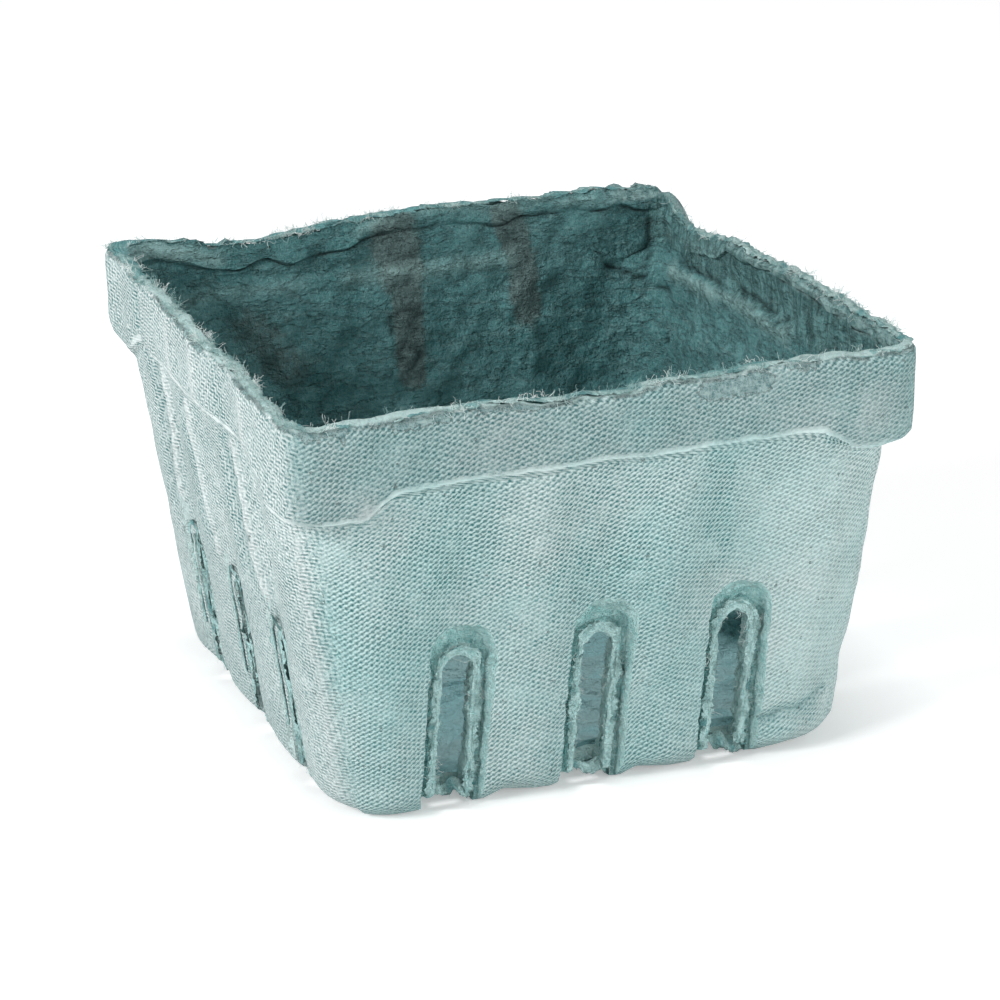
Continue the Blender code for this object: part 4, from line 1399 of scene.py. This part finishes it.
def outside_material():
    material, tree, shader, place = new_material("screened_pulp")
    surface = add(tree, "ShaderNodeUVMap", {"uv_map": "pulp_map"}).outputs["UV"]
    screen = effect(tree, "screen_imprint", {"Surface": surface, "Place": place})
    felt = effect(tree, "pulp_felt", {"Place": place})
    cast = effect(tree, "pulp_cast", {"Place": place})
    thread = mixed(tree, cast["Tone"], THREAD_GREY, THREAD_COLOUR)
    parts = add(tree, "ShaderNodeSeparateXYZ", {}, {0: place}).outputs
    # Painted light: paler threads on the left wall, which faces the key lamp
    leftward = maths(tree, "ADD", parts["X"], maths(tree, "ABSOLUTE", parts["Y"]))
    left = between(tree, leftward, 2 * MM, -5 * MM)
    thread = mixed(tree, left, thread, LEFT_LIT_THREAD)
    low_down = between(tree, parts["Z"], 48 * MM, 34 * MM)
    ridge, lip, band, crevice = plain_bands(tree)
    band = maths(tree, "MULTIPLY", band, maths(tree, "SUBTRACT", 1.0, left))
    far_corner = maths(tree, "MULTIPLY", between(tree, parts["X"], -38 * MM, -46 * MM),
                       between(tree, parts["Y"], 38 * MM, 46 * MM))
    ridge = maths(tree, "MULTIPLY", ridge, maths(tree, "SUBTRACT", 1.0, far_corner))
    kept = maths(tree, "SUBTRACT", 1.0, maths(tree, "MAXIMUM", ridge, lip))
    tone, peel = shading_and_stain(tree)
    ragged_edge = maths(tree, "SUBTRACT", noise(tree, place, 1.2 * MM, 4.0, 0.65), 0.5)
    peel = maths(tree, "ADD", peel, maths(tree, "MULTIPLY", ragged_edge, 2.2))
    rim_of_peel = maths(tree, "MULTIPLY", between(tree, peel, 0.3, 0.42), between(tree, peel, 0.6, 0.46))
    peel = between(tree, peel, 0.38, 0.5)
    kept = maths(tree, "MULTIPLY", kept, maths(tree, "SUBTRACT", 1.0, peel))
    # The marks' tone: pale mostly as painted light on ridges, the corner and the front's right, dark as painted shade
    # in grooves
    pale = between(tree, tone, 0.5, 1.0, False)
    dark = between(tree, tone, 0.5, 0.0, False)
    wear_and_shading = maths(tree, "MAXIMUM", maths(tree, "MULTIPLY", cast["Blotches"], 0.5), pale)
    clear = maths(tree, "MULTIPLY", kept, maths(tree, "SUBTRACT", 1.0, maths(tree, "MULTIPLY", wear_and_shading, 0.8)))
    clear = maths(tree, "MULTIPLY", clear, maths(tree, "SUBTRACT", 1.0, maths(tree, "MULTIPLY", low_down, LOWER_CALM)))
    pits = maths(tree, "MULTIPLY", maths(tree, "SUBTRACT", 1.0, screen["Tone"]), clear)
    pits = maths(tree, "ADD", pits, maths(tree, "MULTIPLY", low_down, LOWER_CALM / 2))
    pits = maths(tree, "ADD", pits, maths(tree, "MULTIPLY", cast["Tone"], PATCH_DARKER))
    pits = maths(tree, "MAXIMUM", pits, maths(tree, "MULTIPLY", dark, 0.75))
    colour = mixed(tree, pits, thread, PIT_COLOUR)
    colour = mixed(tree, maths(tree, "MULTIPLY", pale, 0.75), colour, PALE_COLOUR)
    # Painted shade: the band is darker, as it gets less of the light thrown up from below than the body
    colour = mixed(tree, maths(tree, "MULTIPLY", band, BAND_SHADE_SHARE), colour, BAND_SHADE_COLOUR)
    far = between(tree, parts["Y"], 25 * MM, 40 * MM)
    lip_tone = mixed(tree, cast["Blotches"], mixed(tree, far, LIP_COLOUR, ROLL_DARK), LIP_DARK)
    lumps = maths(tree, "MULTIPLY", maths(tree, "MULTIPLY", noise(tree, place, 1.4 * MM, 4.0, 0.65), lip), 3.0)
    bared = mixed(tree, between(tree, ragged_edge, -0.1, 0.15), PEELED_DARK, PEELED_COLOUR)
    colour = mixed(tree, peel, colour, bared)
    # Painted shade round the torn edge of each peel and in the crevice below the lip
    colour = mixed(tree, maths(tree, "MULTIPLY", rim_of_peel, 0.65), colour, CREVICE_SHADE_COLOUR)
    colour = mixed(tree, maths(tree, "MULTIPLY", crevice, 0.8), colour, CREVICE_SHADE_COLOUR)
    colour = mixed(tree, lip, colour, lip_tone)
    colour = mixed(tree, maths(tree, "MULTIPLY", felt["Fibres"], 0.18), colour, FIBRE_COLOUR)
    tree.links.new(colour, shader.inputs["Base Color"])
    fine = raise_surface(tree, shader, felt["Height"], 0.1 * MM)
    raised = maths(tree, "ADD", maths(tree, "MULTIPLY", screen["Height"], kept), lumps)
    raise_surface(tree, shader, raised, 0.36 * MM, fine)
    return material


def underside_material():
    material, tree, shader, place = new_material("screened_underside")
    scaled = add(tree, "ShaderNodeVectorMath", {"operation": "MULTIPLY"}, {0: place, 1: (1 / UV_UNIT,) * 3}).outputs[0]
    screen = effect(tree, "screen_imprint", {"Surface": scaled, "Place": place})
    felt = effect(tree, "pulp_felt", {"Place": place})
    cast = effect(tree, "pulp_cast", {"Place": place})
    thread = mixed(tree, cast["Tone"], THREAD_GREY, THREAD_COLOUR)
    clear = maths(tree, "SUBTRACT", 1.0 - LOWER_CALM, maths(tree, "MULTIPLY", cast["Blotches"], 0.3))
    pits = maths(tree, "MULTIPLY", maths(tree, "SUBTRACT", 1.0, screen["Tone"]), clear)
    pits = maths(tree, "ADD", pits, maths(tree, "MULTIPLY", cast["Tone"], PATCH_DARKER))
    colour = mixed(tree, maths(tree, "ADD", pits, LOWER_CALM / 2), thread, PIT_COLOUR)
    colour = mixed(tree, maths(tree, "MULTIPLY", felt["Fibres"], 0.18), colour, FIBRE_COLOUR)
    tree.links.new(colour, shader.inputs["Base Color"])
    fine = raise_surface(tree, shader, felt["Height"], 0.1 * MM)
    raise_surface(tree, shader, screen["Height"], 0.36 * MM, fine)
    return material


def inside_material():
    material, tree, shader, place = new_material("felted_pulp")
    felt = effect(tree, "pulp_felt", {"Place": place})
    cast = effect(tree, "pulp_cast", {"Place": place})
    tone, stain = shading_and_stain(tree)
    base = maths(tree, "MULTIPLY", maths(tree, "ADD", cast["Tone"], cast["Blotches"]), 0.5)
    colour = mixed(tree, base, INSIDE_COLOUR, INSIDE_PALE)
    up = add(tree, "ShaderNodeSeparateXYZ", {}, {0: place}).outputs["Z"]
    # Painted light: the floor inside is far paler than the walls, as if lit from above; some of it is browner
    low_down = between(tree, up, 2.5 * FLOOR, 1.2 * FLOOR)
    brownish = between(tree, noise(tree, place, 9 * MM, 2.0), 0.4, 0.6)
    colour = mixed(tree, low_down, colour, mixed(tree, brownish, LIT_FLOOR_PULP, LIT_FLOOR_BROWN))
    torn_edge = maths(tree, "MULTIPLY", maths(tree, "SUBTRACT", noise(tree, place, 1.5 * MM, 4.0, 0.65), 0.5), 0.9)
    stained = between(tree, maths(tree, "ADD", stain, torn_edge), 0.15, 0.75)
    colour = mixed(tree, maths(tree, "MULTIPLY", stained, 0.7), colour, STAIN_COLOUR)
    # Painted light on the raised ridges inside, where the marks' tone is pale
    colour = mixed(tree, between(tree, tone, 0.5, 1.1, False), colour, INSIDE_RIDGE_LIGHT)
    sides = add(tree, "ShaderNodeSeparateXYZ", {}, {0: place}).outputs["X"]
    raked = noise(tree, place, 1.6 * MM, 4.0, 0.65, (1, 1, 5))
    raked_share = maths(tree, "MULTIPLY", between(tree, sides, RAKED_FROM, RAKED_FROM + 3 * MM),
                        between(tree, up, BAND_BOTTOM, BAND_BOTTOM + SHOULDER_RISE))
    raked_share = maths(tree, "MULTIPLY", raked_share, between(tree, up, HEIGHT - LIP_RISE, HEIGHT - LIP_DEPTH))
    streaks = mixed(tree, between(tree, raked, 0.38, 0.62), CREASE_SHADE_COLOUR, RAKED_COLOUR)
    colour = mixed(tree, maths(tree, "MULTIPLY", raked_share, 0.45), colour, streaks)
    right = between(tree, sides, 38 * MM, 48 * MM)
    mottle = between(tree, noise(tree, place, 3.5 * MM, 5.0, 0.65), 0.5, 0.62)
    colour = mixed(tree, maths(tree, "MULTIPLY", maths(tree, "MULTIPLY", mottle, right), 0.5), colour, MOTTLE_COLOUR)
    roll = maths(tree, "MULTIPLY", between(tree, up, HEIGHT - LIP_DEPTH, HEIGHT - LIP_DEPTH + MM), right)
    rolled = mixed(tree, between(tree, noise(tree, place, 2 * MM, 5.0, 0.65), 0.6, 0.42), ROLL_DARK, ROLL_COLOUR)
    colour = mixed(tree, maths(tree, "MULTIPLY", roll, 0.85), colour, rolled)
    on_wall = maths(tree, "SUBTRACT", 1.0, low_down)
    wrinkles = noise(tree, place, 1.5 * MM, 5.0, 0.62, (4, 4, 1))
    folds = maths(tree, "ABSOLUTE", maths(tree, "SUBTRACT", noise(tree, place, 4 * MM, 4.0, 0.6, (2.2, 2.2, 1)), 0.5))
    folds = maths(tree, "MULTIPLY", between(tree, folds, 0.05, 0.0), on_wall)
    raised = maths(tree, "MULTIPLY", between(tree, wrinkles, 0.55, 0.75), on_wall)
    # Painted light on the wrinkles' raised tops and painted shade in the folds
    colour = mixed(tree, maths(tree, "MULTIPLY", raised, 0.35), colour, INSIDE_FIBRE)
    colour = mixed(tree, maths(tree, "MULTIPLY", folds, 0.35), colour, CREASE_SHADE_COLOUR)
    colour = mixed(tree, maths(tree, "MULTIPLY", felt["Fibres"], 0.22), colour, INSIDE_FIBRE)
    # Painted shade in the cracks, pits and grooves, where the marks' tone is dark
    colour = mixed(tree, maths(tree, "MULTIPLY", between(tree, tone, 0.5, 0.0, False), 0.9), colour, CREASE_SHADE_COLOUR)
    tree.links.new(colour, shader.inputs["Base Color"])
    lumps = noise(tree, place, 2.6 * MM, 4.0, 0.6)
    lumps = maths(tree, "ADD", lumps, maths(tree, "MULTIPLY", maths(tree, "MULTIPLY", raked, raked_share), 0.6))
    lumps = maths(tree, "ADD", lumps, maths(tree, "MULTIPLY", wrinkles, 0.45))
    lumps = maths(tree, "SUBTRACT", lumps, maths(tree, "MULTIPLY", folds, 0.12))
    coarse = raise_surface(tree, shader, lumps, 1.9 * MM)
    raise_surface(tree, shader, felt["Height"], 0.22 * MM, coarse)
    return material


def slot_material():
    material, tree, shader, place = new_material("pressed_pulp")
    felt = effect(tree, "pulp_felt", {"Place": place})
    tone, _ = shading_and_stain(tree)
    # The cutters' tones bring painted shade into the recess's crease and the depth of each slot; the patches vary it at
    # random
    patches = maths(tree, "SUBTRACT", noise(tree, place, 1.5 * MM, 5.0, 0.7), 0.44)
    tone = maths(tree, "ADD", tone, maths(tree, "MULTIPLY", patches, 2.0))
    colour = mixed(tree, between(tree, tone, 0.0, 0.5), SLOT_DARK, SLOT_COLOUR)
    colour = mixed(tree, between(tree, tone, 0.5, 1.0), colour, SLOT_PALE)
    parts = add(tree, "ShaderNodeSeparateXYZ", {}, {0: place}).outputs
    # Painted light: paler pulp on the left wall, which faces the key lamp
    leftward = maths(tree, "ADD", parts["X"], maths(tree, "ABSOLUTE", parts["Y"]))
    left = between(tree, leftward, 2 * MM, -5 * MM)
    colour = mixed(tree, maths(tree, "MULTIPLY", left, 0.6), colour, LEFT_LIT_THREAD)
    colour = mixed(tree, maths(tree, "MULTIPLY", felt["Fibres"], 0.4), colour, SLOT_FIBRE)
    tree.links.new(colour, shader.inputs["Base Color"])
    lumps = noise(tree, place, 1.5 * MM, 5.0, 0.7)
    coarse = raise_surface(tree, shader, lumps, 0.9 * MM)
    raise_surface(tree, shader, felt["Height"], 0.5 * MM, coarse)
    return material


def torn_material():
    """The felted pulp that shows at a torn edge."""
    material, tree, shader, place = new_material("torn_pulp")
    felt = effect(tree, "pulp_felt", {"Place": place})
    shade = add(tree, "ShaderNodeAttribute", {"attribute_name": "shade"}).outputs["Fac"]
    patches = between(tree, noise(tree, place, 4 * MM, 4.0, 0.6), 0.35, 0.65)
    tone = maths(tree, "ADD", shade, maths(tree, "MULTIPLY", maths(tree, "SUBTRACT", patches, 0.5), 0.5))
    colour = mixed(tree, between(tree, tone, 0.0, 0.5), INSIDE_PALE, TORN_COLOUR)
    up = add(tree, "ShaderNodeSeparateXYZ", {}, {0: place}).outputs["Z"]
    pale = mixed(tree, between(tree, up, 45 * MM, 40 * MM), LIP_COLOUR, PLY_COLOUR)
    colour = mixed(tree, between(tree, tone, 0.5, 1.0), colour, pale)
    colour = mixed(tree, maths(tree, "MULTIPLY", felt["Fibres"], maths(tree, "MULTIPLY", shade, 0.5)), colour, SLOT_FIBRE)
    tree.links.new(colour, shader.inputs["Base Color"])
    coarse = raise_surface(tree, shader, noise(tree, place, 1.4 * MM, 4.0, 0.65), 1.2 * MM)
    raise_surface(tree, shader, felt["Height"], 0.35 * MM, coarse)
    return material


def fibre_material():
    """Single loose fibres, paler in some places than in others."""
    material, tree, shader, place = new_material("loose_fibre")
    patches = between(tree, noise(tree, place, 6 * MM, 2.0), 0.35, 0.65)
    tree.links.new(mixed(tree, patches, TORN_COLOUR, FIBRE_COLOUR), shader.inputs["Base Color"])
    return material


# The stage
CAMERA_PLACE = (-223.86 * MM, -614.81 * MM, 284.19 * MM)
CAMERA_YAW_DEGREES = 20.01
CAMERA_PITCH_DEGREES = 20.67
CAMERA_ROLL_DEGREES = -1.14
CAMERA_LENS = 138.26
FLOOR_SIZE = 4
FLOOR_COLOUR = (0.93, 0.93, 0.93, 1)


def make_camera():
    yaw = math.radians(CAMERA_YAW_DEGREES)
    pitch = math.radians(CAMERA_PITCH_DEGREES)
    roll = math.radians(CAMERA_ROLL_DEGREES)
    ahead = Vector((math.sin(yaw) * math.cos(pitch), math.cos(yaw) * math.cos(pitch), -math.sin(pitch)))
    right = Vector((math.cos(yaw), -math.sin(yaw), 0))
    up = right.cross(ahead)
    turned_right = right * math.cos(roll) + up * math.sin(roll)
    turned_up = up * math.cos(roll) - right * math.sin(roll)
    data = bpy.data.cameras.new("camera")
    data.lens = CAMERA_LENS
    data.clip_start = 10 * MM
    camera = bpy.data.objects.new("camera", data)
    matrix = Matrix((turned_right, turned_up, -ahead)).transposed().to_4x4()
    matrix.translation = CAMERA_PLACE
    camera.matrix_world = matrix
    bpy.context.scene.collection.objects.link(camera)
    bpy.context.scene.camera = camera


def make_floor():
    """A pale floor that the camera sees as white, apart from the shadow on it."""
    mesh = bpy.data.meshes.new("floor")
    half = FLOOR_SIZE / 2
    mesh.from_pydata([(-half, -half, 0), (half, -half, 0), (half, half, 0), (-half, half, 0)], [], [(0, 1, 2, 3)])
    floor = bpy.data.objects.new("floor", mesh)
    bpy.context.scene.collection.objects.link(floor)
    material = bpy.data.materials.new("floor")
    material.use_nodes = True
    tree = material.node_tree
    shader = tree.nodes["Principled BSDF"]
    shader.inputs["Base Color"].default_value = FLOOR_COLOUR
    shader.inputs["Roughness"].default_value = 1
    shader.inputs["Specular IOR Level"].default_value = 0
    seen = add(tree, "ShaderNodeLightPath").outputs["Is Camera Ray"]
    glow = add(tree, "ShaderNodeEmission", {}, {"Color": (1, 1, 1, 1), "Strength": 0.3}).outputs[0]
    lit = add(tree, "ShaderNodeAddShader", {}, {0: shader.outputs[0], 1: glow}).outputs[0]
    chosen = add(tree, "ShaderNodeMixShader", {}, {0: seen, 1: shader.outputs[0], 2: lit}).outputs[0]
    tree.links.new(chosen, tree.nodes["Material Output"].inputs["Surface"])
    mesh.materials.append(material)


def make_world():
    """Soft light from all round, which the camera sees as white."""
    world = bpy.data.worlds.new("studio")
    world.use_nodes = True
    tree = world.node_tree
    ground = tree.nodes["Background"]
    ground.inputs["Color"].default_value = (1, 1, 1, 1)
    path = add(tree, "ShaderNodeLightPath").outputs
    seen = maths(tree, "MAXIMUM", path["Is Camera Ray"], path["Is Glossy Ray"])
    seen = maths(tree, "MAXIMUM", seen, path["Is Transmission Ray"])
    strength = maths(tree, "ADD", maths(tree, "MULTIPLY", seen, 1 - WORLD_LIGHT), WORLD_LIGHT)
    tree.links.new(strength, ground.inputs["Strength"])
    bpy.context.scene.world = world


WORLD_LIGHT = 0.3
# Each lamp: its place and what it shines at, the side of its square and its power
LAMPS = (
    ((-0.98, -0.30, 0.58), (0, 0, 0.04), 0.45, 10.8),
    ((0.3, -1.0, 0.2), (0, 0, 0.04), 0.9, 3.2),
    ((0.8, -0.7, 0.12), (0.03, 0, 0.04), 0.5, 5.5),
    ((0, 0.1, 1.2), (0, 0, 0.04), 0.4, 5.0),
)


def make_lamps():
    for number, (place, target, side, power) in enumerate(LAMPS):
        data = bpy.data.lights.new(f"lamp_{number}", "AREA")
        data.shape = "SQUARE"
        data.size = side
        data.energy = power
        lamp = bpy.data.objects.new(f"lamp_{number}", data)
        bpy.context.scene.collection.objects.link(lamp)
        lamp.location = place
        direction = Vector(target) - Vector(place)
        lamp.rotation_euler = direction.to_track_quat("-Z", "Y").to_euler()


bpy.context.scene.view_settings.view_transform = "Standard"
make_camera()
make_floor()
make_world()
make_lamps()
skin = moulded_skin()
wall = basket_wall(skin, (outside_material(), inside_material(), slot_material(), underside_material()))
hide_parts("pulp_basket")
torn = torn_material()
fibre = fibre_material()
lip_plies = lip_strips(skin)
slot_plies = slot_strips()
sills = sill_strips()
tree = fibre_tree()
pieces = (
    wall,
    new_piece("torn_lip", strip_mesh("torn_lip", lip_plies, True), torn),
    new_piece("slot_plies", strip_mesh("slot_plies", slot_plies, False), torn),
    new_piece("slot_sills", strip_mesh("slot_sills", sills, False), torn),
    fibres("lip_fibres", fringe_mesh(lip_plies, True, 0.6), fibre, tree,
           Density=2.4e7, Length=1.8 * MM, Thickness=0.035 * MM, Curl=2.4 * MM, Spread=1.2, Seed=5),
    fibres("slot_fibres", fringe_mesh(slot_plies + sills, False, 0.2), fibre, tree,
           Density=8e6, Length=1.6 * MM, Thickness=0.035 * MM, Curl=2.0 * MM, Spread=1.0, Seed=8),
)
for piece in pieces:
    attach(piece, "root")
